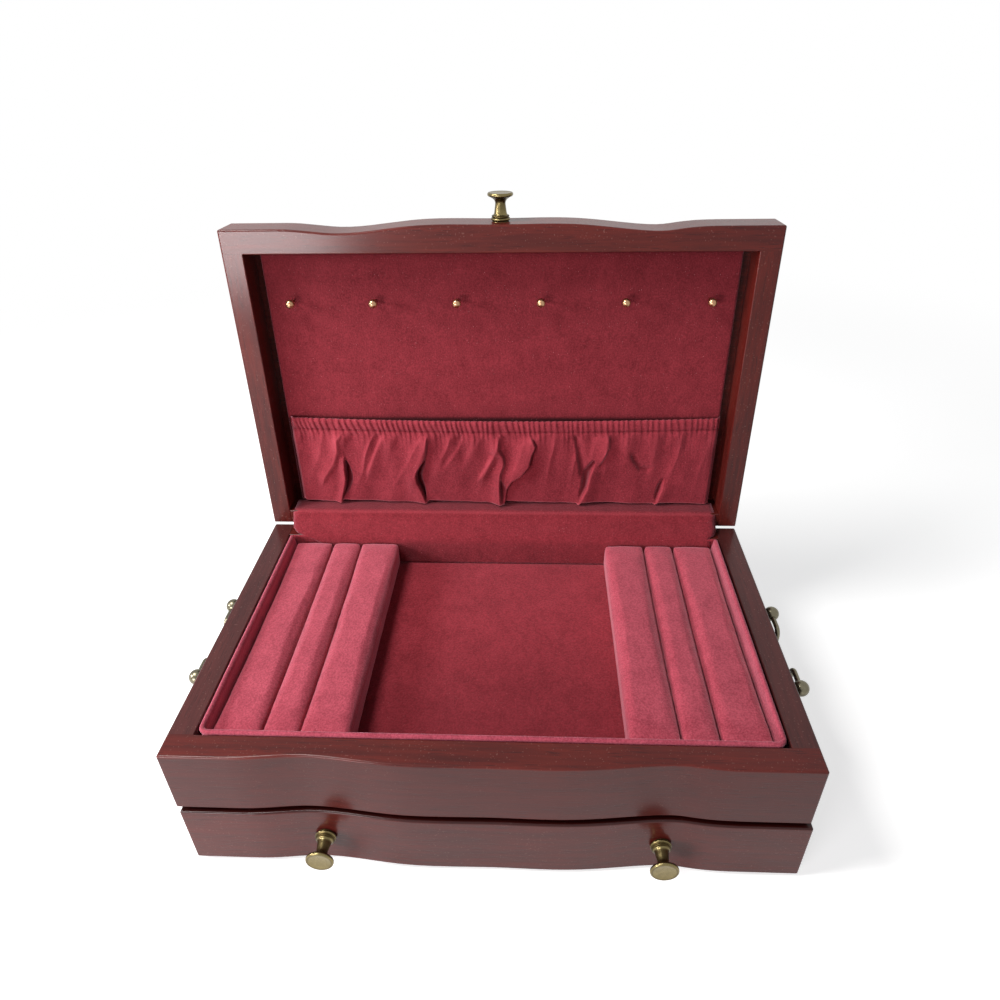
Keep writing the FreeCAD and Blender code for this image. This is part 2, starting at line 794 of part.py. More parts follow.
def drawer_wall_lining():
    """The velvet round the drawer's inner walls, cleared round the knob screws' heads."""
    z0 = drawer_floor_z + mat_thickness
    z1 = drawer_side_top_z - drawer_lining_step
    outer = block(-drawer_inner_x, drawer_inner_x, drawer_front_back_y, drawer_back_inner_y, z0, z1)
    hollow = block(-drawer_inner_x + drawer_lining, drawer_inner_x - drawer_lining,
                   drawer_front_back_y + drawer_lining, drawer_back_inner_y - drawer_lining, z0, z1)
    lining = outer.cut(hollow)
    for side in (-1, 1):
        seat = drawer_knob_seat(side)
        start = Vector(seat.x, drawer_front_back_y, seat.z)
        lining = lining.cut(Part.makeCylinder(knob_screw_head_radius + soft_gap, drawer_lining, start,
                                              Vector(0, 1, 0)))
    return lining


# ---- Lid, built closed --------------------------------------------------------------------------

def lid_front_rail():
    """The serpentine front rail of the lid's frame."""
    rail = serpentine_board(front_y, lid_inner_front_y, lid_rim_z, lid_panel_z)
    rail = round_front(rail, front_y, lid_inner_front_y, [lid_rim_z])
    rail = rail.cut(inner_arris(lid_inner_x, lid_inner_front_y, lid_rim_z, -1, 1))
    rail = rail.cut(brads(front_y, lid_brad_low_z, lid_brad_high_z, screw_fit))
    return rail.cut(knob_seat_cut(lid_knob_seat)).cut(knob_screw_hole(lid_knob_seat, lid_inner_front_y))


def lid_stile():
    """The right side of the lid's frame."""
    stile = block(lid_inner_x, half_width, lid_inner_front_y, back_y, lid_rim_z, lid_panel_z)
    stile = round_edges(stile, arris_radius,
                        lambda p: near(p.x, half_width) and (near(p.z, lid_rim_z) or near(p.y, back_y)))
    stile = round_edges(stile, inner_arris_radius, lambda p: near(p.x, lid_inner_x) and near(p.z, lid_rim_z))
    return stile.cut(brads(front_y, lid_brad_low_z, lid_brad_high_z, screw_fit))


def lid_back_rail():
    """The back rail of the lid's frame, with room for the hinges."""
    rail = block(-lid_inner_x, lid_inner_x, lid_inner_back_y, back_y, lid_rim_z, lid_panel_z)
    rail = round_edges(rail, inner_arris_radius,
                       lambda p: near(p.y, lid_inner_back_y) and near(p.z, lid_rim_z))
    for centre_x in (-hinge_offset_x, hinge_offset_x):
        rail = rail.cut(leaf_mortise(centre_x, lid_rim_z - 1, lid_rim_z + leaf_thickness))
        rail = rail.cut(knuckle_room(centre_x)).cut(hinge_screw_holes(centre_x, lid_rim_z, 1))
    return rail


def lid_top():
    """The lid's top board, with the frame's serpentine outline."""
    top_z = lid_panel_z + lid_top_board
    board = serpentine_board(front_y, back_y, lid_panel_z, top_z)
    board = round_edges(board, arris_radius, lambda p: near(abs(p.x), half_width)
                        and (near(p.y, front_y) or near(p.y, back_y)))
    return round_edges(board, lid_top_round, lambda p: near(p.z, top_z))


def lid_lining():
    """The velvet pad on the inside of the lid, drilled for the hooks."""
    pad = block(-lining_half_width, lining_half_width, lid_inner_front_y + lining_end_gap,
                lid_inner_back_y - lining_end_gap, lining_face_z, lid_panel_z)
    pad = round_edges(pad, lining_round, lambda p: near(p.z, lining_face_z))
    return pad.cut(group([hook_stem(index, hook_stem_radius + screw_fit) for index in range(hook_count)]))


def lid_pocket():
    """The gathered pocket: a pouch open towards the lid's front, with a hem for the elastic."""
    half = pocket_half_width
    pouch = block(-half, half, pocket_top_y, pocket_bottom_y, pocket_face_z, lining_face_z)
    pouch = round_edges(pouch, pocket_round,
                        lambda p: near(p.z, pocket_face_z) and near(p.y, pocket_bottom_y))
    room = block(-half + pocket_wall, half - pocket_wall, pocket_top_y - 1,
                 pocket_bottom_y - pocket_wall, pocket_face_z + pocket_wall, lining_face_z)
    hem = block(-half, half, pocket_top_y, pocket_top_y + hem_width,
                pocket_face_z, pocket_face_z + hem_thickness)
    tunnel = elastic_block(pocket_half_width - elastic_end_gap / 2, screw_fit)
    return pouch.cut(room).fuse(hem).cut(tunnel).removeSplitter()


def elastic_block(half_length, clearance):
    """The elastic in the pocket's hem, with a clearance all round."""
    middle_y = pocket_top_y + hem_width / 2
    middle_z = pocket_face_z + hem_thickness / 2
    across = elastic_width / 2 + clearance
    through = elastic_thickness / 2 + clearance
    return block(-half_length, half_length, middle_y - across, middle_y + across,
                 middle_z - through, middle_z + through)


def pocket_elastic():
    """The elastic band in the pocket's hem."""
    return elastic_block(pocket_half_width - elastic_end_gap, 0)


def hook_x(index):
    """Where a necklace hook stands across the lid."""
    end_x = lining_half_width - hook_end_inset
    return -end_x + index * 2 * end_x / (hook_count - 1)


def hook_stem(index, radius):
    """The stem of a hook, from the lid's top board to its ball."""
    y = back_y - hook_from_hinge
    return rod(Vector(hook_x(index), y, lid_panel_z + hook_depth),
               Vector(hook_x(index), y, lining_face_z - hook_reach), radius)


def necklace_hooks():
    """The ball-ended hooks for necklaces."""
    hooks = []
    for index in range(hook_count):
        centre = Vector(hook_x(index), back_y - hook_from_hinge, lining_face_z - hook_reach)
        hooks.append(hook_stem(index, hook_stem_radius).fuse(Part.makeSphere(hook_ball_radius, centre)))
    return group(hooks)


def lid_top_with_hook_holes():
    """The top board drilled for the hooks' stems."""
    holes = group([hook_stem(index, hook_stem_radius + screw_fit) for index in range(hook_count)])
    return lid_top().cut(holes)


# ---- The whole box ------------------------------------------------------------------------------

def case_pieces():
    """Everything that stays still."""
    right = {"side": side_of_case(), "cleat": tray_cleat(), "runner": drawer_runner(), "liner": liner_side(),
             "posts": handle_posts()}
    pieces = {"base_felt": base_felt(), "case_back": case_back(), "case_front_rail": case_front_rail(),
              "case_bottom": case_bottom(), "tray_board": tray_deck(), "drawer_stop": drawer_stop(),
              "tray_mat": tray_mat(), "tray_liner_front": liner_front(), "tray_liner_rear": liner_rear(),
              "hinge_flap": hinge_flap(),
              "case_corner_brads": brads(front_y, case_brad_low_z, case_brad_high_z)}
    rolls = ring_rolls()
    for word, flip in (("right", lambda shape: shape), ("left", mirrored)):
        pieces["case_" + word + "_side"] = flip(right["side"])
        pieces["tray_cleat_" + word] = flip(right["cleat"])
        pieces["drawer_runner_" + word] = flip(right["runner"])
        pieces["tray_liner_" + word] = flip(right["liner"])
        pieces["handle_posts_" + word] = flip(right["posts"])
        for name, roll in rolls.items():
            pieces["ring_roll_" + word + "_" + name] = flip(roll)
    screws = []
    for word, centre_x in (("left", -hinge_offset_x), ("right", hinge_offset_x)):
        pieces["hinge_lower_leaf_" + word] = lower_leaf(centre_x)
        screws += hinge_screws(centre_x, rim_z, -1)
    pieces["case_hinge_screws"] = group(screws)
    pieces["hinge_pins"] = group([hinge_pin(-hinge_offset_x), hinge_pin(hinge_offset_x)])
    pieces["handle_rosettes"] = group([handle_rosettes(), mirrored(handle_rosettes())])
    pieces["handle_nuts"] = group([handle_nuts(), mirrored(handle_nuts())])
    return pieces


def lid_pieces():
    """Everything that turns with the lid, in its closed place."""
    pieces = {"lid_front_rail": lid_front_rail(), "lid_right_stile": lid_stile(),
              "lid_left_stile": mirrored(lid_stile()), "lid_back_rail": lid_back_rail(),
              "lid_top": lid_top_with_hook_holes(), "lid_lining": lid_lining(), "lid_pocket": lid_pocket(),
              "pocket_elastic": pocket_elastic(), "necklace_hooks": necklace_hooks(),
              "lid_knob": knob(lid_knob_seat), "lid_knob_screw": knob_screw(lid_knob_seat, lid_inner_front_y),
              "lid_corner_brads": brads(front_y, lid_brad_low_z, lid_brad_high_z)}
    screws = []
    for word, centre_x in (("left", -hinge_offset_x), ("right", hinge_offset_x)):
        pieces["hinge_upper_leaf_" + word] = upper_leaf(centre_x)
        screws += hinge_screws(centre_x, lid_rim_z, 1)
    pieces["lid_hinge_screws"] = group(screws)
    return pieces


def drawer_pieces():
    """Everything that slides with the drawer."""
    return {"drawer_front": drawer_front(), "drawer_right_side": drawer_side(),
            "drawer_left_side": mirrored(drawer_side()), "drawer_back": drawer_back(),
            "drawer_bottom": drawer_bottom(), "drawer_mat": drawer_mat(),
            "drawer_wall_lining": drawer_wall_lining(),
            "drawer_knob_left": knob(drawer_knob_seat(-1)), "drawer_knob_right": knob(drawer_knob_seat(1)),
            "drawer_knob_screws": group([knob_screw(drawer_knob_seat(side), drawer_front_back_y)
                                         for side in (-1, 1)])}


def all_pieces():
    """Every node of the box at rest: the lid open, the drawer in, the bails hanging."""
    pieces = case_pieces()
    pieces.update({name: open_lid(shape) for name, shape in lid_pieces().items()})
    pieces.update(drawer_pieces())
    pieces["bail_right"] = bail()
    pieces["bail_left"] = mirrored(bail())
    return pieces


os.makedirs("parts", exist_ok=True)
for node, shape in all_pieces().items():
    shape.exportStep(os.path.join("parts", node + ".step"))
    print(node, round(shape.Volume / 1000, 2), "cm3", len(shape.Solids), "solid(s)",
          "valid" if shape.isValid() else "NOT VALID")
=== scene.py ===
"""The looks of a ring box with a drawer.

A stained wooden box with brass fittings is lined with velvet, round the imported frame. Lengths are in
millimetres unless a docstring says otherwise, and MM turns them into the scene's metres.
"""

from __future__ import annotations

import json
import logging
import math
from dataclasses import dataclass, field
from enum import Enum
from typing import Callable, Sequence

import bmesh
import bpy
from mathutils import Matrix, Vector, noise
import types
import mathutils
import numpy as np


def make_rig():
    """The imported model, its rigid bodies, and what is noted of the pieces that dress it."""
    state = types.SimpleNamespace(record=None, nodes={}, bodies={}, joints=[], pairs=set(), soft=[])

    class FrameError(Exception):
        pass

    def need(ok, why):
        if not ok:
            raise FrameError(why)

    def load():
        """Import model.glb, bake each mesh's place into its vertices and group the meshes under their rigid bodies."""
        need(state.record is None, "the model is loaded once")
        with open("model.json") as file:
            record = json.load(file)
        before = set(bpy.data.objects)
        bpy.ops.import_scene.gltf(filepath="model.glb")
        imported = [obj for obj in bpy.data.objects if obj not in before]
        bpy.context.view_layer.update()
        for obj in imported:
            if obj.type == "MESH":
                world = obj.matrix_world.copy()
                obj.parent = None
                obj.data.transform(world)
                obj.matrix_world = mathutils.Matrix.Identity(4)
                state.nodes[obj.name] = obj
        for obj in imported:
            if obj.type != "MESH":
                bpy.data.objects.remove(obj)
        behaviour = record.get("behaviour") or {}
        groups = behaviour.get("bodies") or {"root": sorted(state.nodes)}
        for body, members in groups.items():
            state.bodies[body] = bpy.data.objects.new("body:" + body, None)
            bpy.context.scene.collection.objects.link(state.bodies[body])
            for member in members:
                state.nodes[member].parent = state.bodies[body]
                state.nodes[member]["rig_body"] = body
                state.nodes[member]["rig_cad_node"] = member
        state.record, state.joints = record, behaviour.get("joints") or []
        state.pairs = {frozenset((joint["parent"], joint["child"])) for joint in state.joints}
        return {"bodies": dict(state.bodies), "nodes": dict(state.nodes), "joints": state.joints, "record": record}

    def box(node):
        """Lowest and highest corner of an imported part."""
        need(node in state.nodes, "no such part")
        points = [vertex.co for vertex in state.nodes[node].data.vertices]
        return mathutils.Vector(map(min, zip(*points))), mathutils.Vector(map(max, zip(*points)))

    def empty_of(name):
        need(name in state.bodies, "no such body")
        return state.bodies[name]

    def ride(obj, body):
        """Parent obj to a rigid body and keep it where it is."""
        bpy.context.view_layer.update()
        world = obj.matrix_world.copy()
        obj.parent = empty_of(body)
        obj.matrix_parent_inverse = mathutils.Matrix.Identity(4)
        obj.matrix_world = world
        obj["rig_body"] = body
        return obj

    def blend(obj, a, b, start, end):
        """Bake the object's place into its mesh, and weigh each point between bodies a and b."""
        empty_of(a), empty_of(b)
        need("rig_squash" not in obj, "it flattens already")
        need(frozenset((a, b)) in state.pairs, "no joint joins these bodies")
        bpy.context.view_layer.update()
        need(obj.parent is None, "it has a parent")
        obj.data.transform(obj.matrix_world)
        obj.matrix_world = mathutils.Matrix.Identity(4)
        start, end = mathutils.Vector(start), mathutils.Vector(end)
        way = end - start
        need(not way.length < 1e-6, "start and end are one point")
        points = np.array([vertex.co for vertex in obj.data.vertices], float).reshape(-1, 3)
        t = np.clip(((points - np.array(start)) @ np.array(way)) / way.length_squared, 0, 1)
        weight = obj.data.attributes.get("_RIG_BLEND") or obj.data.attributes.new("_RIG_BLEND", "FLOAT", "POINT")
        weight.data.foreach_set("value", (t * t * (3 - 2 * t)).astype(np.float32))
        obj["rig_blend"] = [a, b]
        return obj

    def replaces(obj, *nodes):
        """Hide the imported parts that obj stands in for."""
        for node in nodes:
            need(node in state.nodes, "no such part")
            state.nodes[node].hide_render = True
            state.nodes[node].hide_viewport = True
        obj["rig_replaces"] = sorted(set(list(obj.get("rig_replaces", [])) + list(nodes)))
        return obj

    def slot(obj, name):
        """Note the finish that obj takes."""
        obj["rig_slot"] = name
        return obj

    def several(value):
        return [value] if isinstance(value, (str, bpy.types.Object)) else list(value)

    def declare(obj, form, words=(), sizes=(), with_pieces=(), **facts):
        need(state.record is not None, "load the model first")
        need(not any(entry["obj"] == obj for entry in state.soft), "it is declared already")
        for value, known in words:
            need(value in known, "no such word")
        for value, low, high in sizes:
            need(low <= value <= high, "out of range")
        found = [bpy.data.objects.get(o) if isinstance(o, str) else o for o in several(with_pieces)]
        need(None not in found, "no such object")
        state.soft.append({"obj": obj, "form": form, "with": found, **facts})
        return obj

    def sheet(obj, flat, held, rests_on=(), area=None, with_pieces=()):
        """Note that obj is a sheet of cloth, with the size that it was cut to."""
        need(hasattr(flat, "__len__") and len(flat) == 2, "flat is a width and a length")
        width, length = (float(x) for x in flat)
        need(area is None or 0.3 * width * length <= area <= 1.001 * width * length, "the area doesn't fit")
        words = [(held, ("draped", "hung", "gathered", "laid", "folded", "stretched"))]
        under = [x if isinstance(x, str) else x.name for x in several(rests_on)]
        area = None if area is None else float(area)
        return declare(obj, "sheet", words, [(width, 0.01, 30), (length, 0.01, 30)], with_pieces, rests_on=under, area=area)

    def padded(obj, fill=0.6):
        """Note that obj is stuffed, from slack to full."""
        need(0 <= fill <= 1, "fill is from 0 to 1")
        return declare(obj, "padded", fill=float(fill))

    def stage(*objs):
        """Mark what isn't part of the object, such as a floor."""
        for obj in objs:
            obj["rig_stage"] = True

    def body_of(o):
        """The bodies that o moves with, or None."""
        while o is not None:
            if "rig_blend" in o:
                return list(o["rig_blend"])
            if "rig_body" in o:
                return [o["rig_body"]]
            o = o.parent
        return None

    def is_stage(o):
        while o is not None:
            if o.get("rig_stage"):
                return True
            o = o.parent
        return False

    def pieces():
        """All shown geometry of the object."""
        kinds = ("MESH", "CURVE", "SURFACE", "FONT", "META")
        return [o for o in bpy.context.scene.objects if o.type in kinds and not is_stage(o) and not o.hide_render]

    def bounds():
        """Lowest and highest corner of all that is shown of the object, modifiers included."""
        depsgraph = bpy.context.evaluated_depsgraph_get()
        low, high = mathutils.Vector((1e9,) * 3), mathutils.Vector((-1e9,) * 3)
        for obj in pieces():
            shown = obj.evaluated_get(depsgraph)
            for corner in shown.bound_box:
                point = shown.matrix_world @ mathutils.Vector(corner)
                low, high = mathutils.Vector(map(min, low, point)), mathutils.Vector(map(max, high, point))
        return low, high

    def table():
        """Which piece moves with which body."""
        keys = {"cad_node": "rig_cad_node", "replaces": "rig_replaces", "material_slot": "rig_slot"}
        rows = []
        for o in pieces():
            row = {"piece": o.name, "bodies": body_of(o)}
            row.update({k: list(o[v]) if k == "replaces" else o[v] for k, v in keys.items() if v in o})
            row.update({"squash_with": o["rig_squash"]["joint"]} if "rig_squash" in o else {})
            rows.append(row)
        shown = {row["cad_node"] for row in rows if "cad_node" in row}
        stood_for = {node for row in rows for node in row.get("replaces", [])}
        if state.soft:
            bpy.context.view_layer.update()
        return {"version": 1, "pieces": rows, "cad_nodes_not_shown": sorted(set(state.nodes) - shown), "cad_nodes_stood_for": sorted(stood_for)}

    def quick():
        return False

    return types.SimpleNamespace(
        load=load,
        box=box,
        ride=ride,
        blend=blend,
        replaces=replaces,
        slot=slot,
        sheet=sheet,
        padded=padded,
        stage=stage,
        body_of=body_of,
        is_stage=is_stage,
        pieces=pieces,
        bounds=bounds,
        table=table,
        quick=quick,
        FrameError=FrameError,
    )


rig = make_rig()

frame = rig.load()
cad_low, cad_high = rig.bounds()

log = logging.getLogger("ring_box")
MM = 0.001
WHITE = (1.0, 1.0, 1.0, 1.0)


# ---- Shader building ----------------------------------------------------------------------------


class Value:
    """A number that comes out of a shader node, with Python arithmetic on it."""

    def __init__(self, shader: "Shader", socket: bpy.types.NodeSocket) -> None:
        """Wraps one output socket of a shader."""
        self.shader = shader
        self.socket = socket

    def operate(self, operation: str, *values: object) -> "Value":
        """Adds a Math node.

        Args:
            operation: the node's operation.
            values: its inputs in order, as numbers or Values.

        Returns:
            The node's result.
        """
        sockets = dict(enumerate(values))
        node = self.shader.node("ShaderNodeMath", {"operation": operation}, sockets)
        return Value(self.shader, node.outputs[0])

    def __add__(self, other: object) -> "Value":
        """This plus another."""
        return self.operate("ADD", self, other)

    __radd__ = __add__

    def __sub__(self, other: object) -> "Value":
        """This less another."""
        return self.operate("SUBTRACT", self, other)

    def __rsub__(self, other: object) -> "Value":
        """Another less this."""
        return self.operate("SUBTRACT", other, self)

    def __mul__(self, other: object) -> "Value":
        """This times another."""
        return self.operate("MULTIPLY", self, other)

    __rmul__ = __mul__

    def __pow__(self, other: object) -> "Value":
        """This to a power."""
        return self.operate("POWER", self, other)

    def fraction(self) -> "Value":
        """What is left of this without its whole part."""
        return self.operate("FRACT", self)

    def magnitude(self) -> "Value":
        """This without its sign."""
        return self.operate("ABSOLUTE", self)

    def clamp(self) -> "Value":
        """This, kept from 0 to 1."""
        node = self.shader.node("ShaderNodeClamp", {}, {"Value": self})
        return Value(self.shader, node.outputs[0])

    def step(self, low: float, high: float) -> "Value":
        """A smooth step.

        Args:
            low: where the step is 0.
            high: where the step is 1; it may be below low.

        Returns:
            The step's height from 0 to 1.
        """
        start, end, first, last = (low, high, 0.0, 1.0) if low < high else (high, low, 1.0, 0.0)
        sockets = {"Value": self, "From Min": start, "From Max": end, "To Min": first, "To Max": last}
        node = self.shader.node("ShaderNodeMapRange", {"interpolation_type": "SMOOTHSTEP"}, sockets)
        return Value(self.shader, node.outputs[0])


class Shader:
    """Builds the nodes of one material or of the world."""

    def __init__(self, tree: bpy.types.NodeTree) -> None:
        """Starts from an empty node tree."""
        self.tree = tree
        tree.nodes.clear()

    def node(self, kind: str, settings: dict, sockets: dict) -> bpy.types.Node:
        """Adds a node.

        Args:
            kind: the node's type.
            settings: what is set on the node before its sockets.
            sockets: its inputs by name or number, as numbers, colours, Values or output sockets.

        Returns:
            The node.
        """
        node = self.tree.nodes.new(kind)
        for name, setting in settings.items():
            setattr(node, name, setting)
        for name, given in sockets.items():
            given = given.socket if isinstance(given, Value) else given
            if isinstance(given, bpy.types.NodeSocket):
                self.tree.links.new(given, node.inputs[name])
            else:
                node.inputs[name].default_value = given
        return node

    def point(self, scale: Sequence[float] = (1.0, 1.0, 1.0),
              turn: Sequence[float] = (0.0, 0.0, 0.0)) -> bpy.types.NodeSocket:
        """The place on the object, stretched and turned.

        Args:
            scale: how much each axis is stretched.
            turn: the turn about each axis, in radians.

        Returns:
            The vector socket.
        """
        place = self.node("ShaderNodeTexCoord", {}, {}).outputs["Object"]
        sockets = {"Vector": place, "Scale": scale, "Rotation": turn}
        return self.node("ShaderNodeMapping", {}, sockets).outputs[0]

    def axes(self) -> tuple[Value, Value, Value]:
        """The place on the object as three numbers, in metres.

        Returns:
            The three coordinates.
        """
        place = self.node("ShaderNodeTexCoord", {}, {}).outputs["Object"]
        split = self.node("ShaderNodeSeparateXYZ", {}, {0: place})
        return tuple(Value(self, split.outputs[index]) for index in range(3))

    def noise(self, vector: bpy.types.NodeSocket, scale: float, detail: float = 2.0, roughness: float = 0.5,
              distortion: float = 0.0) -> Value:
        """Noise from 0 to 1.

        Args:
            vector: where it is read.
            scale: how fine it is, in cycles a metre.
            detail: how many finer layers it has.
            roughness: how strong those layers are.
            distortion: how much it swirls.

        Returns:
            The noise.
        """
        sockets = {"Vector": vector, "Scale": scale, "Detail": detail, "Roughness": roughness,
                   "Distortion": distortion}
        return Value(self, self.node("ShaderNodeTexNoise", {}, sockets).outputs["Fac"])

    def blend_colours(self, factor: object, first: object, second: object) -> bpy.types.NodeSocket:
        """Mixes two colours.

        Args:
            factor: how much of the second, as a number or a Value.
            first: the first colour.
            second: the second colour.

        Returns:
            The colour socket.
        """
        sockets = {0: factor, 6: _rgba(first), 7: _rgba(second)}
        return self.node("ShaderNodeMix", {"data_type": "RGBA"}, sockets).outputs[2]

    def attribute(self, name: str) -> Value:
        """A number painted on the mesh's points."""
        node = self.node("ShaderNodeAttribute", {"attribute_name": name}, {})
        return Value(self, node.outputs["Fac"])

    def bump(self, height: Value, distance: float, strength: float = 1.0) -> bpy.types.NodeSocket:
        """A normal bent by a height.

        Args:
            height: the height, from 0 to 1.
            distance: what a height of 1 stands for, in metres.
            strength: how much of it shows.

        Returns:
            The normal socket.
        """
        sockets = {"Height": height, "Distance": distance, "Strength": strength}
        return self.node("ShaderNodeBump", {}, sockets).outputs[0]

    def finish(self, sockets: dict) -> None:
        """Adds the surface shader and joins it to the output."""
        surface = self.node("ShaderNodeBsdfPrincipled", {}, sockets)
        self.node("ShaderNodeOutputMaterial", {}, {"Surface": surface.outputs[0]})


def _rgba(colour: object) -> object:
    """A colour with its alpha, or the socket that was given."""
    return (*colour, 1.0) if isinstance(colour, tuple) and len(colour) == 3 else colour


def new_material(name: str) -> tuple[bpy.types.Material, Shader]:
    """An empty material and the builder of its nodes.

    Args:
        name: the material's name.

    Returns:
        The material and the builder.
    """
    material = bpy.data.materials.new(name)
    material.use_nodes = True
    return material, Shader(material.node_tree)


# ---- Finishes -----------------------------------------------------------------------------------

Colour = tuple[float, float, float]


class Grain(Enum):
    """Which way the wood's grain runs."""

    ALONG_X = (0.06, 1.0, 1.0)
    ALONG_Y = (1.0, 0.06, 1.0)
    ALONG_Z = (1.0, 1.0, 0.06)


@dataclass(frozen=True)
class StainedWood:
    """Reddish-brown stained wood under a thin satin lacquer.

    A painted shadow band of some strength lies between two heights, where shade falls in the gap between rail and
    drawer.
    Below another height the front face is painted darker, as shade. These heights are in metres.
    """

    name: str
    grain: Grain
    dark: Colour = (0.034, 0.0045, 0.0042)
    light: Colour = (0.140, 0.0145, 0.0095)
    roughness: float = 0.46
    coat: float = 0.42
    band_scale: float = 90.0
    streak_scale: float = 420.0
    pore_scale: float = 1500.0
    cloud_scale: float = 14.0
    speckle_scale: float = 1700.0
    fleck_scale: float = 1150.0
    fleck_colour: Colour = (0.40, 0.22, 0.18)
    gap_shade_colour: Colour = (0.006, 0.001, 0.001)
    gap_shade_fade: float = 0.0004
    gap_shade: tuple[float, float, float] | None = None
    front_shade: float = 0.0
    front_shade_up_to: tuple[float, float] = (0.0786, 0.0798)

    def material(self) -> bpy.types.Material:
        """Builds the finish.

        Returns:
            The material.
        """
        material, shader = new_material(self.name)
        along = shader.point(scale=self.grain.value)
        bands = shader.noise(along, self.band_scale, 3.0, 0.55, 0.4)
        streaks = shader.noise(along, self.streak_scale, 2.0, 0.6)
        pores = shader.noise(along, self.pore_scale, 1.0, 0.5).step(0.60, 0.72)
        clouds = shader.noise(shader.point(), self.cloud_scale, 2.0)
        speckle = shader.noise(shader.point(), self.speckle_scale, 1.0)
        tone = (bands * 0.5 + streaks.step(0.25, 0.75) * 0.35 + clouds * 0.45 - 0.15).clamp()
        stain = shader.blend_colours(tone, self.dark, self.light)
        stained = shader.blend_colours(pores * 0.6, stain, self.dark)
        flecks = shader.noise(shader.point(), self.fleck_scale, 0.0).step(0.74, 0.80)
        stained = shader.blend_colours(flecks * 0.16, stained, self.fleck_colour)
        height = shader.axes()[2]
        # Painted shade: the front face below this height is blended towards the dark stain.
        if self.front_shade:
            face = 1.0 - height.step(*self.front_shade_up_to)
            stained = shader.blend_colours(face * self.front_shade, stained, self.dark)
        # Painted shadow: a dark band where shade falls in the gap between the rail and the drawer.
        if self.gap_shade:
            low, high, strength = self.gap_shade
            inside = height.step(low - self.gap_shade_fade, low) * (1.0 - height.step(high, high + self.gap_shade_fade))
            stained = shader.blend_colours(inside * strength, stained, self.gap_shade_colour)
        relief = streaks * 0.35 + speckle * 0.5 - pores * 0.4
        shader.finish({
            "Base Color": stained,
            "Roughness": streaks * 0.14 + speckle * 0.10 + (self.roughness - 0.12),
            "IOR": 1.5,
            "Specular IOR Level": 0.06,
            "Coat Weight": self.coat,
            "Coat Roughness": 0.19,
            "Coat IOR": 1.5,
            "Normal": shader.bump(relief, 0.00015, 0.8),
        })
        return material


@dataclass(frozen=True)
class BareWood:
    """Sanded hardwood with no stain."""

    name: str
    grain: Grain
    dark: Colour = (0.20, 0.115, 0.060)
    light: Colour = (0.36, 0.23, 0.13)

    def material(self) -> bpy.types.Material:
        """Builds the finish.

        Returns:
            The material.
        """
        material, shader = new_material(self.name)
        along = shader.point(scale=self.grain.value)
        bands = shader.noise(along, 110.0, 3.0, 0.6, 0.6)
        pores = shader.noise(along, 1300.0, 1.0).step(0.58, 0.70)
        colour = shader.blend_colours(bands, self.dark, self.light)
        colour = shader.blend_colours(pores * 0.5, colour, self.dark)
        shader.finish({
            "Base Color": colour,
            "Roughness": bands * 0.1 + 0.60,
            "Normal": shader.bump(bands - pores * 0.6, 0.00006, 0.6),
        })
        return material


@dataclass(frozen=True)
class Plywood:
    """Plywood: a plain face veneer, and plies along its edges. Its sizes are in metres."""

    name: str
    low: float
    ply: float = 0.0010
    face: Colour = (0.45, 0.32, 0.19)
    cross: Colour = (0.27, 0.17, 0.09)

    def material(self) -> bpy.types.Material:
        """Builds the finish.

        Returns:
            The material.
        """
        material, shader = new_material(self.name)
        _, _, height = shader.axes()
        level = (height - self.low) * (1.0 / (2.0 * self.ply))
        edges = level.fraction().step(0.45, 0.55)
        normal = shader.node("ShaderNodeNewGeometry", {}, {}).outputs["True Normal"]
        up = Value(shader, shader.node("ShaderNodeSeparateXYZ", {}, {0: normal}).outputs[2])
        on_edge = up.magnitude().step(0.7, 0.3)
        figure = shader.noise(shader.point(scale=(0.05, 1.0, 1.0)), 130.0, 3.0, 0.6, 0.8)
        face = shader.blend_colours(figure * 0.6, self.face, self.cross)
        colour = shader.blend_colours(edges * on_edge, face, self.cross)
        shader.finish({
            "Base Color": colour,
            "Roughness": figure * 0.1 + 0.62,
            "Normal": shader.bump(figure, 0.00005, 0.5),
        })
        return material


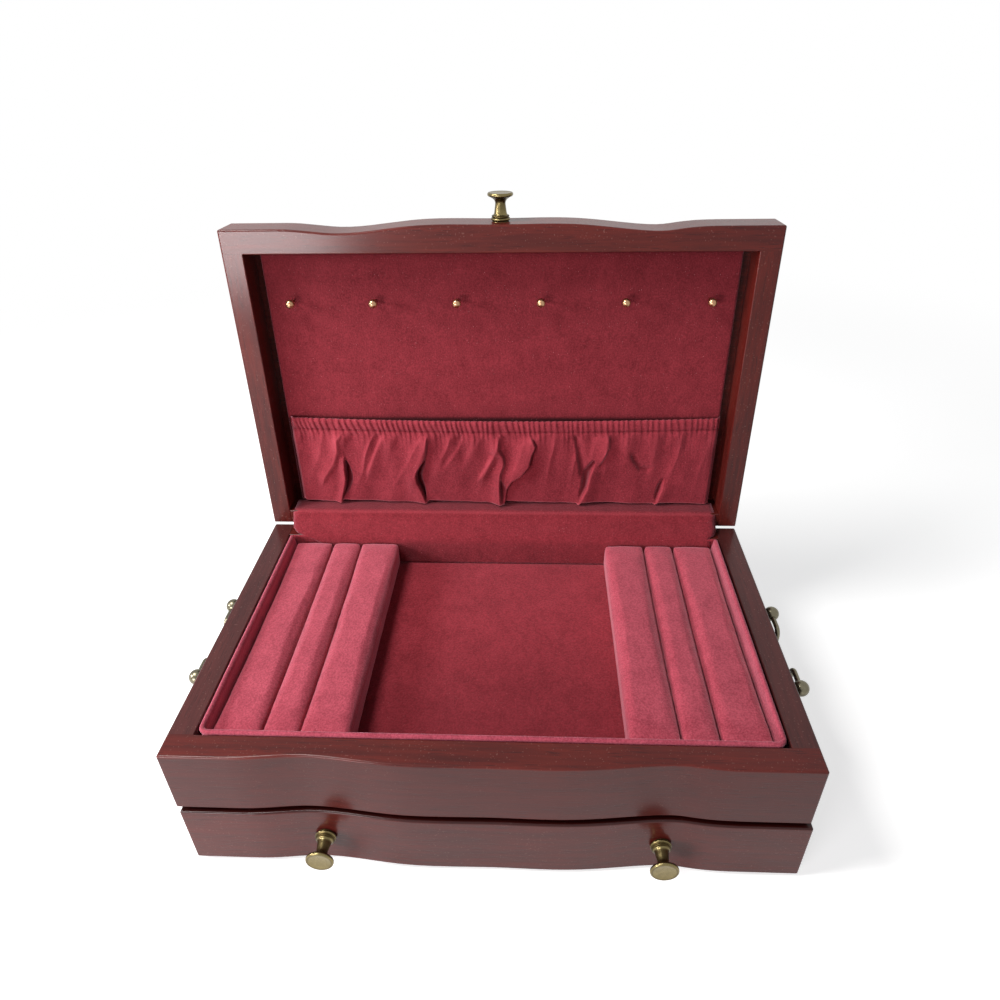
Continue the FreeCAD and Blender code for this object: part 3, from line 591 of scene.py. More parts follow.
@dataclass(frozen=True)
class Velvet:
    """Short-pile velvet: brushed patches, a fine nap and a pale sheen.

    With hollows it takes painted shade where the mesh's attribute "hollow" is above 0, and painted highlights, paler,
    where it is below.
    """

    name: str
    deep: Colour = (0.160, 0.010, 0.016)
    lit: Colour = (0.360, 0.036, 0.052)
    sheen: float = 0.55
    sheen_colour: Colour = (1.0, 0.48, 0.57)
    patch: float = 62.0
    brush: float = 210.0
    nap: float = 1050.0
    lint: float = 1900.0
    lint_colour: Colour = (0.70, 0.30, 0.32)
    hollows: bool = False

    def material(self) -> bpy.types.Material:
        """Builds the finish.

        Returns:
            The material.
        """
        material, shader = new_material(self.name)
        place = shader.point()
        patches = shader.noise(place, self.patch, 3.0, 0.6, 0.7)
        strokes = shader.point(scale=(1.0, 0.45, 0.45), turn=(0.2, 0.1, 0.5))
        brushing_and_shade = shader.noise(strokes, self.brush, 3.0, 0.65)
        nap = shader.noise(place, self.nap, 1.0, 0.7).step(0.28, 0.72)
        lint = shader.noise(place, self.lint, 0.0).step(0.80, 0.86)
        tone = patches * 0.75 + brushing_and_shade * 0.50 + nap * 0.55 - 0.42
        # Colours for the painted shade and the painted highlights, read through the "hollow" attribute below.
        shade = tuple(0.35 * part for part in self.deep)
        painted_highlight = tuple(min(1.0, 1.55 * part + 0.02) for part in self.lit)
        colour = shader.blend_colours(tone.clamp(), self.deep, self.lit)
        if self.hollows:
            hollow = shader.attribute("hollow")
            colour = shader.blend_colours(hollow.clamp(), colour, shade)
            colour = shader.blend_colours((0.0 - hollow).clamp(), colour, painted_highlight)
        colour = shader.blend_colours(lint * 0.35, colour, self.lint_colour)
        shader.finish({
            "Base Color": colour,
            "Roughness": nap * 0.1 + 0.85,
            "Specular IOR Level": 0.15,
            "Sheen Weight": self.sheen,
            "Sheen Roughness": 0.45,
            "Sheen Tint": (*self.sheen_colour, 1.0),
            "Normal": shader.bump(nap * 0.7 + brushing_and_shade * 0.5, 0.00016, 0.8),
        })
        return material


@dataclass(frozen=True)
class Felt:
    """Pressed felt: matted fibres."""

    name: str
    dark: Colour = (0.018, 0.007, 0.007)
    light: Colour = (0.050, 0.020, 0.018)

    def material(self) -> bpy.types.Material:
        """Builds the finish.

        Returns:
            The material.
        """
        material, shader = new_material(self.name)
        place = shader.point()
        fibres = shader.noise(place, 900.0, 3.0, 0.7, 1.5)
        clumps = shader.noise(place, 160.0, 2.0)
        tone = (fibres * 0.7 + clumps * 0.4 - 0.05).clamp()
        shader.finish({
            "Base Color": shader.blend_colours(tone, self.dark, self.light),
            "Roughness": fibres * 0.1 + 0.88,
            "Normal": shader.bump(fibres, 0.0002, 0.8),
        })
        return material


@dataclass(frozen=True)
class AgedBrass:
    """Lacquered brass, tarnished in patches and darkened in its hollows."""

    name: str
    bright: Colour = (0.225, 0.182, 0.084)
    dark: Colour = (0.050, 0.034, 0.012)
    roughness: float = 0.20
    hollows: bool = False

    def material(self) -> bpy.types.Material:
        """Builds the finish.

        Returns:
            The material.
        """
        material, shader = new_material(self.name)
        place = shader.point()
        stain = shader.noise(place, 420.0, 3.0, 0.6, 0.4)
        fine = shader.noise(place, 2600.0, 2.0, 0.6)
        tarnish = (stain * 0.55 + fine * 0.25 - 0.16).clamp()
        if self.hollows:
            tarnish = (tarnish + shader.attribute("hollow")).clamp()
        shader.finish({
            "Base Color": shader.blend_colours(tarnish, self.bright, self.dark),
            "Metallic": 1.0,
            "Roughness": tarnish * 0.18 + fine * 0.08 + self.roughness,
            "Normal": shader.bump(fine, 0.00002, 0.5),
        })
        return material


@dataclass(frozen=True)
class PlainSteel:
    """Zinc-plated steel with fine turning marks."""

    name: str
    bright: Colour = (0.52, 0.52, 0.50)
    dark: Colour = (0.22, 0.22, 0.21)

    def material(self) -> bpy.types.Material:
        """Builds the finish.

        Returns:
            The material.
        """
        material, shader = new_material(self.name)
        marks = shader.noise(shader.point(scale=(0.2, 1.0, 1.0)), 1800.0, 2.0)
        shader.finish({
            "Base Color": shader.blend_colours(marks, self.dark, self.bright),
            "Metallic": 1.0,
            "Roughness": marks * 0.2 + 0.30,
            "Normal": shader.bump(marks, 0.00002, 0.5),
        })
        return material


@dataclass(frozen=True)
class ElasticTape:
    """Woven elastic: ribs along it and a fine weave across."""

    name: str
    light: Colour = (0.46, 0.41, 0.39)
    dark: Colour = (0.22, 0.19, 0.18)

    def material(self) -> bpy.types.Material:
        """Builds the finish.

        Returns:
            The material.
        """
        material, shader = new_material(self.name)
        ribs = self._wave(shader, "Z", 900.0)
        picks = self._wave(shader, "X", 700.0)
        weave = ribs * 0.6 + picks * 0.4
        shader.finish({
            "Base Color": shader.blend_colours(weave.clamp(), self.dark, self.light),
            "Roughness": weave * 0.1 + 0.75,
            "Normal": shader.bump(weave, 0.0001, 0.7),
        })
        return material

    @staticmethod
    def _wave(shader: Shader, way: str, scale: float) -> Value:
        """Even threads.

        Args:
            shader: where the node goes.
            way: the axis across the threads.
            scale: how many there are in a metre, roughly.

        Returns:
            The threads' height.
        """
        settings = {"wave_type": "BANDS", "bands_direction": way}
        sockets = {"Vector": shader.point(), "Scale": scale, "Distortion": 0.3}
        return Value(shader, shader.node("ShaderNodeTexWave", settings, sockets).outputs["Fac"])


# The lid's and pocket's velvets are darker copies, and the pads' and walls' velvets paler, pinker copies, of one
# fabric: painted shade on the lid and pocket, painted light and sheen on the pads and walls.
SOFT_VELVET = Velvet("burgundy_velvet_soft", hollows=True)
LID_VELVET = Velvet("burgundy_velvet_lid", deep=(0.126, 0.008, 0.013), lit=(0.285, 0.029, 0.041), hollows=True)
GATHERED_VELVET = Velvet("burgundy_velvet_gathered", deep=(0.150, 0.010, 0.017), lit=(0.330, 0.036, 0.052),
                         hollows=True)
PAD_VELVET = Velvet("burgundy_velvet_pads", deep=(0.255, 0.026, 0.044), lit=(0.555, 0.090, 0.130), sheen=0.9,
                    sheen_colour=(1.0, 0.53, 0.62), patch=75.0)
WALL_VELVET = Velvet("burgundy_velvet_walls", deep=(0.215, 0.022, 0.040), lit=(0.51, 0.088, 0.130), sheen=0.8,
                     sheen_colour=(1.0, 0.54, 0.64), hollows=True)
KNOB_BRASS = AgedBrass("aged_brass_knobs", hollows=True)
HOOK_BRASS = AgedBrass("aged_brass_hooks", bright=(0.50, 0.30, 0.17), dark=(0.12, 0.05, 0.02))
HANDLE_BRASS = AgedBrass("aged_brass_handles", bright=(0.20, 0.18, 0.125), dark=(0.030, 0.024, 0.014))
SIDE_WOOD = StainedWood("mahogany_along_y", Grain.ALONG_Y, dark=(0.030, 0.0075, 0.0075),
                        light=(0.100, 0.022, 0.020))
# The rail and the drawer front take the painted shadow of the gap between them and a front face painted darker as
# shade.
RAIL_WOOD = StainedWood("mahogany_rail", Grain.ALONG_X, gap_shade=(0.0390, 0.0423, 0.95), front_shade=0.50)
DRAWER_WOOD = StainedWood("mahogany_drawer", Grain.ALONG_X, gap_shade=(0.0394, 0.0420, 0.60), front_shade=0.32)


# ---- Studio -------------------------------------------------------------------------------------


@dataclass
class Camera:
    """The camera: where it stands and the way it looks, in millimetres and radians."""

    place: tuple[float, float, float] = (19.881, -303.243, 360.456)
    lens: float = 26.345
    sensor: float = 36.0
    down: float = math.radians(33.168)
    yaw: float = math.radians(-3.005)
    roll: float = math.radians(1.188)

    def build(self) -> bpy.types.Object:
        """Makes the scene's camera.

        Returns:
            The camera.
        """
        ahead = Vector((math.sin(self.yaw) * math.cos(self.down), math.cos(self.yaw) * math.cos(self.down),
                        -math.sin(self.down)))
        level = Vector((math.cos(self.yaw), -math.sin(self.yaw), 0.0))
        below = ahead.cross(level)
        right = math.cos(self.roll) * level + math.sin(self.roll) * below
        lower = math.cos(self.roll) * below - math.sin(self.roll) * level
        turn = Matrix((right, -lower, -ahead)).transposed()
        data = bpy.data.cameras.new("camera")
        data.lens = self.lens
        data.sensor_width = self.sensor
        data.sensor_fit = "HORIZONTAL"
        data.clip_start = 0.01
        data.clip_end = 100.0
        camera = bpy.data.objects.new("camera", data)
        bpy.context.scene.collection.objects.link(camera)
        camera.matrix_world = Matrix.Translation(Vector(self.place) * MM) @ turn.to_4x4()
        bpy.context.scene.camera = camera
        return camera


@dataclass
class Lamp:
    """One soft area lamp, aimed at a point; its place and size are in metres."""

    name: str
    place: tuple[float, float, float]
    aim: tuple[float, float, float]
    width: float
    height: float
    power: float
    colour: Colour = (1.0, 1.0, 1.0)

    def build(self) -> bpy.types.Object:
        """Makes the lamp.

        Returns:
            The lamp.
        """
        data = bpy.data.lights.new(self.name, "AREA")
        data.shape = "RECTANGLE"
        data.size = self.width
        data.size_y = self.height
        data.energy = self.power
        data.color = self.colour
        lamp = bpy.data.objects.new(self.name, data)
        bpy.context.scene.collection.objects.link(lamp)
        lamp.location = self.place
        lamp.rotation_mode = "QUATERNION"
        lamp.rotation_quaternion = (Vector(self.aim) - Vector(self.place)).to_track_quat("-Z", "Y")
        return lamp


@dataclass
class Studio:
    """The floor, the lamps, the world and the camera, in metres."""

    camera: Camera = field(default_factory=Camera)
    lamps: tuple[Lamp, ...] = (
        Lamp("window_lamp", (-0.45, -0.70, 0.185), (-0.02, 0.05, 0.15), 0.30, 0.19, 4.2, (1.0, 0.98, 0.99)),
        Lamp("side_lamp", (-0.80, -0.20, 0.42), (0.0, 0.0, 0.08), 0.16, 0.16, 4.2, (1.0, 0.96, 0.98)),
        Lamp("skylight_lamp", (-0.46, -0.10, 0.84), (0.0, 0.0, 0.08), 0.30, 0.30, 6.6, (1.0, 0.99, 0.97)),
    )
    ambient: float = 0.15
    ambient_colour: Colour = (0.93, 0.96, 1.0)
    floor_size: float = 60.0
    floor_colour: Colour = (0.82, 0.82, 0.82)
    floor_glow: float = 0.66
    white_from: float = 0.42
    white_to: float = 1.10

    def build(self) -> None:
        """Makes everything in the studio."""
        self.camera.build()
        for lamp in self.lamps:
            lamp.build()
        self._world()
        self._floor()
        bpy.context.scene.view_settings.view_transform = "Standard"

    @staticmethod
    def _seen(shader: Shader) -> Value:
        """1 on rays from the camera, on reflections and through glass, and 0 on others.

        Args:
            shader: the builder of the nodes.

        Returns:
            The mask.
        """
        path = shader.node("ShaderNodeLightPath", {}, {})
        camera, glossy, through = (Value(shader, path.outputs[name]) for name in
                                   ("Is Camera Ray", "Is Glossy Ray", "Is Transmission Ray"))
        return (camera + glossy + through).clamp()

    def _world(self) -> None:
        """White where it is seen, and a soft grey as a light."""
        world = bpy.data.worlds.new("studio")
        world.use_nodes = True
        bpy.context.scene.world = world
        shader = Shader(world.node_tree)
        sockets = {"Color": (*self.ambient_colour, 1.0), "Strength": self.ambient}
        grey = shader.node("ShaderNodeBackground", {}, sockets)
        white = shader.node("ShaderNodeBackground", {}, {"Color": WHITE, "Strength": 1.0})
        sockets = {0: self._seen(shader), 1: grey.outputs[0], 2: white.outputs[0]}
        mixed = shader.node("ShaderNodeMixShader", {}, sockets)
        shader.node("ShaderNodeOutputWorld", {}, {"Surface": mixed.outputs[0]})

    def _floor(self) -> None:
        """A plain pale floor that keeps the box's shadow and turns white further off."""
        bpy.ops.mesh.primitive_plane_add(size=self.floor_size, location=(0.0, 0.0, 0.0))
        floor = bpy.context.active_object
        floor.name = "studio_floor"
        material, shader = new_material("studio_floor")
        matt = shader.node("ShaderNodeBsdfDiffuse", {}, {"Color": (*self.floor_colour, 1.0)})
        glow = shader.node("ShaderNodeEmission", {}, {"Color": WHITE, "Strength": self.floor_glow})
        white = shader.node("ShaderNodeEmission", {}, {"Color": WHITE, "Strength": 1.0})
        near = shader.node("ShaderNodeAddShader", {}, {0: matt.outputs[0], 1: glow.outputs[0]})
        x, y, _ = shader.axes()
        distance = (x * x + y * y) ** 0.5
        far = distance.step(self.white_from, self.white_to)
        sockets = {0: far, 1: near.outputs[0], 2: white.outputs[0]}
        shown = shader.node("ShaderNodeMixShader", {}, sockets)
        sockets = {0: self._seen(shader), 1: matt.outputs[0], 2: shown.outputs[0]}
        mixed = shader.node("ShaderNodeMixShader", {}, sockets)
        shader.node("ShaderNodeOutputMaterial", {}, {"Surface": mixed.outputs[0]})
        floor.data.materials.append(material)
        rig.stage(floor)


# ---- Modelling ----------------------------------------------------------------------------------


class Bench:
    """The operations that the pieces are modelled with."""

    @staticmethod
    def clear() -> None:
        """Selects nothing."""
        bpy.ops.object.select_all(action="DESELECT")

    @staticmethod
    def pick(piece: bpy.types.Object) -> None:
        """Selects one piece and makes it the active one.

        Args:
            piece: the piece.
        """
        Bench.clear()
        piece.select_set(True)
        bpy.context.view_layer.objects.active = piece

    @staticmethod
    def apply(piece: bpy.types.Object, kind: str, **settings: object) -> None:
        """Adds a modifier and applies it.

        Args:
            piece: the piece.
            kind: the modifier's type.
            settings: the modifier's settings.
        """
        Bench.pick(piece)
        modifier = piece.modifiers.new(kind.lower(), kind)
        for name, setting in settings.items():
            setattr(modifier, name, setting)
        bpy.ops.object.modifier_apply(modifier=modifier.name)

    @staticmethod
    def smooth(piece: bpy.types.Object, angle: float = 180.0) -> None:
        """Shades a piece smooth across edges under an angle in degrees.

        Args:
            piece: the piece.
            angle: the angle, in degrees.
        """
        Bench.pick(piece)
        if angle >= 180.0:
            bpy.ops.object.shade_smooth()
        else:
            bpy.ops.object.shade_smooth_by_angle(angle=math.radians(angle))

    @staticmethod
    def outward(piece: bpy.types.Object) -> None:
        """Merges doubles and turns the faces outwards.

        Args:
            piece: the piece.
        """
        Bench.pick(piece)
        bpy.ops.object.mode_set(mode="EDIT")
        bpy.ops.mesh.select_all(action="SELECT")
        bpy.ops.mesh.remove_doubles(threshold=1e-6)
        bpy.ops.mesh.normals_make_consistent(inside=False)
        bpy.ops.mesh.select_all(action="DESELECT")
        bpy.ops.object.mode_set(mode="OBJECT")

    @staticmethod
    def still(piece: bpy.types.Object) -> None:
        """Applies a piece's place, turn and size to its mesh."""
        Bench.pick(piece)
        bpy.ops.object.transform_apply(location=True, rotation=True, scale=True)

    @staticmethod
    def dress(piece: bpy.types.Object, material: bpy.types.Material, slot: str) -> None:
        """Gives a piece its only material and the record's slot that it stands for.

        Args:
            piece: the piece.
            material: the material.
            slot: the slot's name.
        """
        piece.data.materials.clear()
        piece.data.materials.append(material)
        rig.slot(piece, slot)

    @staticmethod
    def from_grid(name: str, rows: Sequence[Sequence[Vector]], closed: bool = False) -> bpy.types.Object:
        """A cloth-like surface through rows of points.

        Args:
            name: the piece's name.
            rows: rows of points in metres, all as long as each other.
            closed: whether the last row joins the first.

        Returns:
            The piece.
        """
        mesh = bmesh.new()
        grid = [[mesh.verts.new(point) for point in row] for row in rows]
        pairs = list(zip(grid, grid[1:]))
        if closed:
            pairs.append((grid[-1], grid[0]))
        for row, after in pairs:
            for index in range(len(row) - 1):
                mesh.faces.new((row[index], row[index + 1], after[index + 1], after[index]))
        return Bench.keep(name, mesh)

    @staticmethod
    def keep(name: str, mesh: bmesh.types.BMesh) -> bpy.types.Object:
        """Makes a piece of the scene from a mesh.

        Args:
            name: the piece's name.
            mesh: the mesh, which is freed.

        Returns:
            The piece.
        """
        data = bpy.data.meshes.new(name)
        mesh.to_mesh(data)
        mesh.free()
        piece = bpy.data.objects.new(name, data)
        bpy.context.scene.collection.objects.link(piece)
        return piece

    @staticmethod
    def paint(piece: bpy.types.Object, shades: Sequence[float]) -> None:
        """Stores a number on each point for the finishes that read it: painted shade above 0 and painted highlights
        below 0 on the velvets, and the patina in the knobs' grooves.
        """
        piece.data.attributes.new("hollow", "FLOAT", "POINT").data.foreach_set("value", shades)


def steps(start: float, end: float, length: float) -> list[float]:
    """Even steps between two places, each about as long as asked.

    Args:
        start: the first place.
        end: the last place.
        length: about how long a step is.

    Returns:
        The places.
    """
    count = max(1, round(abs(end - start) / length))
    return [start + (end - start) * index / count for index in range(count + 1)]


def wobble(x: float, y: float = 0.0, z: float = 0.0) -> float:
    """Smooth noise from about -1 to 1."""
    return noise.noise(Vector((x, y, z)))


def smooth_line(knots: Sequence[tuple[float, float]], parts: int) -> list[tuple[float, float]]:
    """A smooth line through some points.

    Args:
        knots: the points that it goes through.
        parts: how many steps there are between two of them.

    Returns:
        The line's points.
    """
    line = []
    ends = [knots[0], *knots, knots[-1]]
    for before, first, second, after in zip(ends, ends[1:], ends[2:], ends[3:]):
        for step in range(parts):
            part = step / parts
            line.append(tuple(0.5 * (2.0 * b + (c - a) * part + (2.0 * a - 5.0 * b + 4.0 * c - d) * part ** 2
                                     + (3.0 * b - a - 3.0 * c + d) * part ** 3)
                              for a, b, c, d in zip(before, first, second, after)))
    return line + [knots[-1]]


def even_line(line: Sequence[tuple[float, float]], spacing: float) -> list[tuple[float, float]]:
    """The same line with its points evenly spaced.

    Args:
        line: the line's points.
        spacing: about how far apart they end up.

    Returns:
        The new points.
    """
    runs = [0.0]
    for before, after in zip(line, line[1:]):
        runs.append(runs[-1] + math.dist(before, after))
    made, index = [], 0
    for run in steps(0.0, runs[-1], spacing):
        while index < len(runs) - 2 and runs[index + 1] < run:
            index += 1
        span = runs[index + 1] - runs[index]
        part = (run - runs[index]) / span if span else 0.0
        made.append(tuple(a + (b - a) * part for a, b in zip(line[index], line[index + 1])))
    return made


def ease(value: float, low: float, high: float) -> float:
    """A smooth step from 0 at low to 1 at high."""
    part = min(1.0, max(0.0, (value - low) / (high - low)))
    return part * part * (3.0 - 2.0 * part)


def node_box(node: str) -> tuple[Vector, Vector]:
    """The lowest and the highest corner of a CAD node."""
    low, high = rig.box(node)
    return Vector(low) / MM, Vector(high) / MM


@dataclass(frozen=True)
class LidSpace:
    """Places in the open lid, in millimetres: across, along from its hinge edge, and into it."""

    pin_y: float = 93.7
    pin_z: float = 81.9
    behind: float = 0.6
    above: float = 1.2
    angle: float = math.radians(93.0)

    def at(self, x: float, along: float, into: float) -> Vector:
        """A place in the open lid, in metres.

        Args:
            x: across the box.
            along: from the lid's hinge edge.
            into: from the lid's rim towards its top board.

        Returns:
            The place.
        """
        y = -along - self.behind
        z = into - self.above
        cosine, sine = math.cos(self.angle), math.sin(self.angle)
        return Vector((x, self.pin_y + y * cosine + z * sine, self.pin_z - y * sine + z * cosine)) * MM

    def along(self, place: Vector) -> float:
        """How far a place in metres lies from the open lid's hinge edge."""
        y, z = place.y / MM - self.pin_y, place.z / MM - self.pin_z
        return z * math.sin(self.angle) - y * math.cos(self.angle) - self.behind


LID = LidSpace()
HOOK_SPOTS = (-120.0, -72.0, -24.0, 24.0, 72.0, 120.0)
HOOK_FROM_HINGE = 144.5


@dataclass
class SoftSlab:
    """A flat pad with a rounded edge all round its face, in millimetres."""

    name: str
    width: float
    height: float
    thickness: float
    place: Callable[[float, float, float], Vector]
    relief: Callable[[float, float], float]
    edge: float
    cell: float

    def build(self) -> bpy.types.Object:
        """Makes the pad: a face that rounds over into its walls, and a flat back.

        Returns:
            The piece.
        """
        across = self._lines(self.width)
        along = self._lines(self.height)
        rows = [[self._point(x, y) for x in across] for y in along]
        back = [[self.place(x, y, 0.0) for x in across] for y in along]
        mesh = bmesh.new()
        front = [[mesh.verts.new(point) for point in row] for row in rows]
        rear = [[mesh.verts.new(point) for point in row] for row in back]
        last_x, last_y = len(across) - 1, len(along) - 1
        for j in range(last_y):
            for i in range(last_x):
                mesh.faces.new((front[j][i], front[j][i + 1], front[j + 1][i + 1], front[j + 1][i]))
                mesh.faces.new((rear[j][i], rear[j + 1][i], rear[j + 1][i + 1], rear[j][i + 1]))
        for i in range(last_x):
            mesh.faces.new((front[0][i], rear[0][i], rear[0][i + 1], front[0][i + 1]))
            mesh.faces.new((front[last_y][i], front[last_y][i + 1], rear[last_y][i + 1], rear[last_y][i]))
        for j in range(last_y):
            mesh.faces.new((front[j][0], front[j + 1][0], rear[j + 1][0], rear[j][0]))
            mesh.faces.new((front[j][last_x], rear[j][last_x], rear[j + 1][last_x], front[j + 1][last_x]))
        bmesh.ops.recalc_face_normals(mesh, faces=mesh.faces)
        piece = Bench.keep(self.name, mesh)
        Bench.smooth(piece, 60.0)
        return piece

    def _lines(self, size: float) -> list[float]:
        """Places the face's lines, close together in the rounded edges.

        Args:
            size: the face's side.

        Returns:
            The lines' places, from its middle.
        """
        half = size / 2
        curve = [self.edge * (1.0 - math.cos(math.radians(15.0 * step))) for step in range(7)]
        rising = [-half + step for step in curve]
        flat = steps(-half + self.edge, half - self.edge, self.cell)[1:-1]
        return rising + flat + [-place for place in reversed(rising)]

    def _point(self, x: float, y: float) -> Vector:
        """Makes a point of the face.

        Args:
            x: the place across it.
            y: the place along it.

        Returns:
            The point, in metres.
        """
        gap = min(self.width / 2 - abs(x), self.height / 2 - abs(y))
        drop = 0.0
        if gap < self.edge:
            drop = self.edge - math.sqrt(max(0.0, self.edge ** 2 - (self.edge - gap) ** 2))
        fade = ease(gap, 0.0, 3.0 * self.edge)
        return self.place(x, y, self.thickness - drop + fade * self.relief(x, y))


# ---- The lid's velvet ---------------------------------------------------------------------------


@dataclass
class LidLining:
    """The velvet panel inside the lid."""

    width: float = 271.0
    low: float = 10.8
    high: float = 171.3
    face: float = 12.0
    thickness: float = 6.0
    mouth: float = 71.0
    top_shade: tuple[float, float, float] = (95.0, 168.0, 0.28)
    dimple_depth: float = 0.7
    dimple_width: float = 2.3

    def build(self, velvet: bpy.types.Material) -> bpy.types.Object:
        """Makes the panel.

        Args:
            velvet: its finish.

        Returns:
            The panel.
        """
        slab = SoftSlab("lid_lining_panel", self.width, self.high - self.low, self.thickness, self._place,
                        self._relief, edge=1.6, cell=1.7)
        piece = slab.build()
        # Painted shade: dark behind the pocket, up to its mouth, and darker towards the lining's top.
        near, far, depth = self.top_shade
        runs = [LID.along(vertex.co) for vertex in piece.data.vertices]
        shades = [1.0 - ease(run, self.mouth - 0.6, self.mouth + 0.5) + depth * ease(run, near, far)
                  for run in runs]
        Bench.paint(piece, shades)
        Bench.dress(piece, velvet, "burgundy_velvet")
        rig.ride(piece, "lid")
        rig.replaces(piece, "lid_lining")
        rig.padded(piece, fill=0.95)
        return piece

    def _place(self, x: float, y: float, up: float) -> Vector:
        """A place in the panel, from the middle of its back."""
        return LID.at(x, (self.low + self.high) / 2 + y, self.face + self.thickness - up)

    def _relief(self, x: float, y: float) -> float:
        """Works out the face's unevenness, with a dimple round each hook.

        Args:
            x: the place across the face.
            y: the place along it, from its middle.

        Returns:
            How far it rises.
        """
        height = 0.18 * wobble(x * 0.016, y * 0.020, 3.1) + 0.07 * wobble(x * 0.07, y * 0.07, 8.4)
        for spot in HOOK_SPOTS:
            gap = math.hypot(x - spot, (self.low + self.high) / 2 + y - HOOK_FROM_HINGE)
            height -= self.dimple_depth * math.exp(-(gap / self.dimple_width) ** 2)
        return height


@dataclass(frozen=True)
class Fold:
    """One fold of the pocket, in millimetres.

    Its crest is a line of places across and down from the pocket's top edge. Its steep side is 1 for the
    right, -1 for the left and 0 for none, and a hollow may lie along that side.
    """

    crest: tuple[tuple[float, float], ...]
    height: float
    width: float
    steep: int = 1
    hollow: float = 0.0
    hollow_width: float = 1.0
    hollow_ends: tuple[float, float] = (28.0, 59.0)
    lap: float = 0.0
    start: float = 5.0
    end: float = 0.5
    # Painted shade along the steep side, with this strength; below it, the strength of a painted highlight along the
    # crest.
    tone: float = 0.6
    crest_highlight: float = 0.5


class PocketPart(Enum):
    """The parts of the pocket's section. Each one's value is how much of the folds it takes."""

    INSIDE = 0.2
    FOLD = 0.6
    FACE = 1.0
    ROLL = 0.9
    UNDER = 0.25


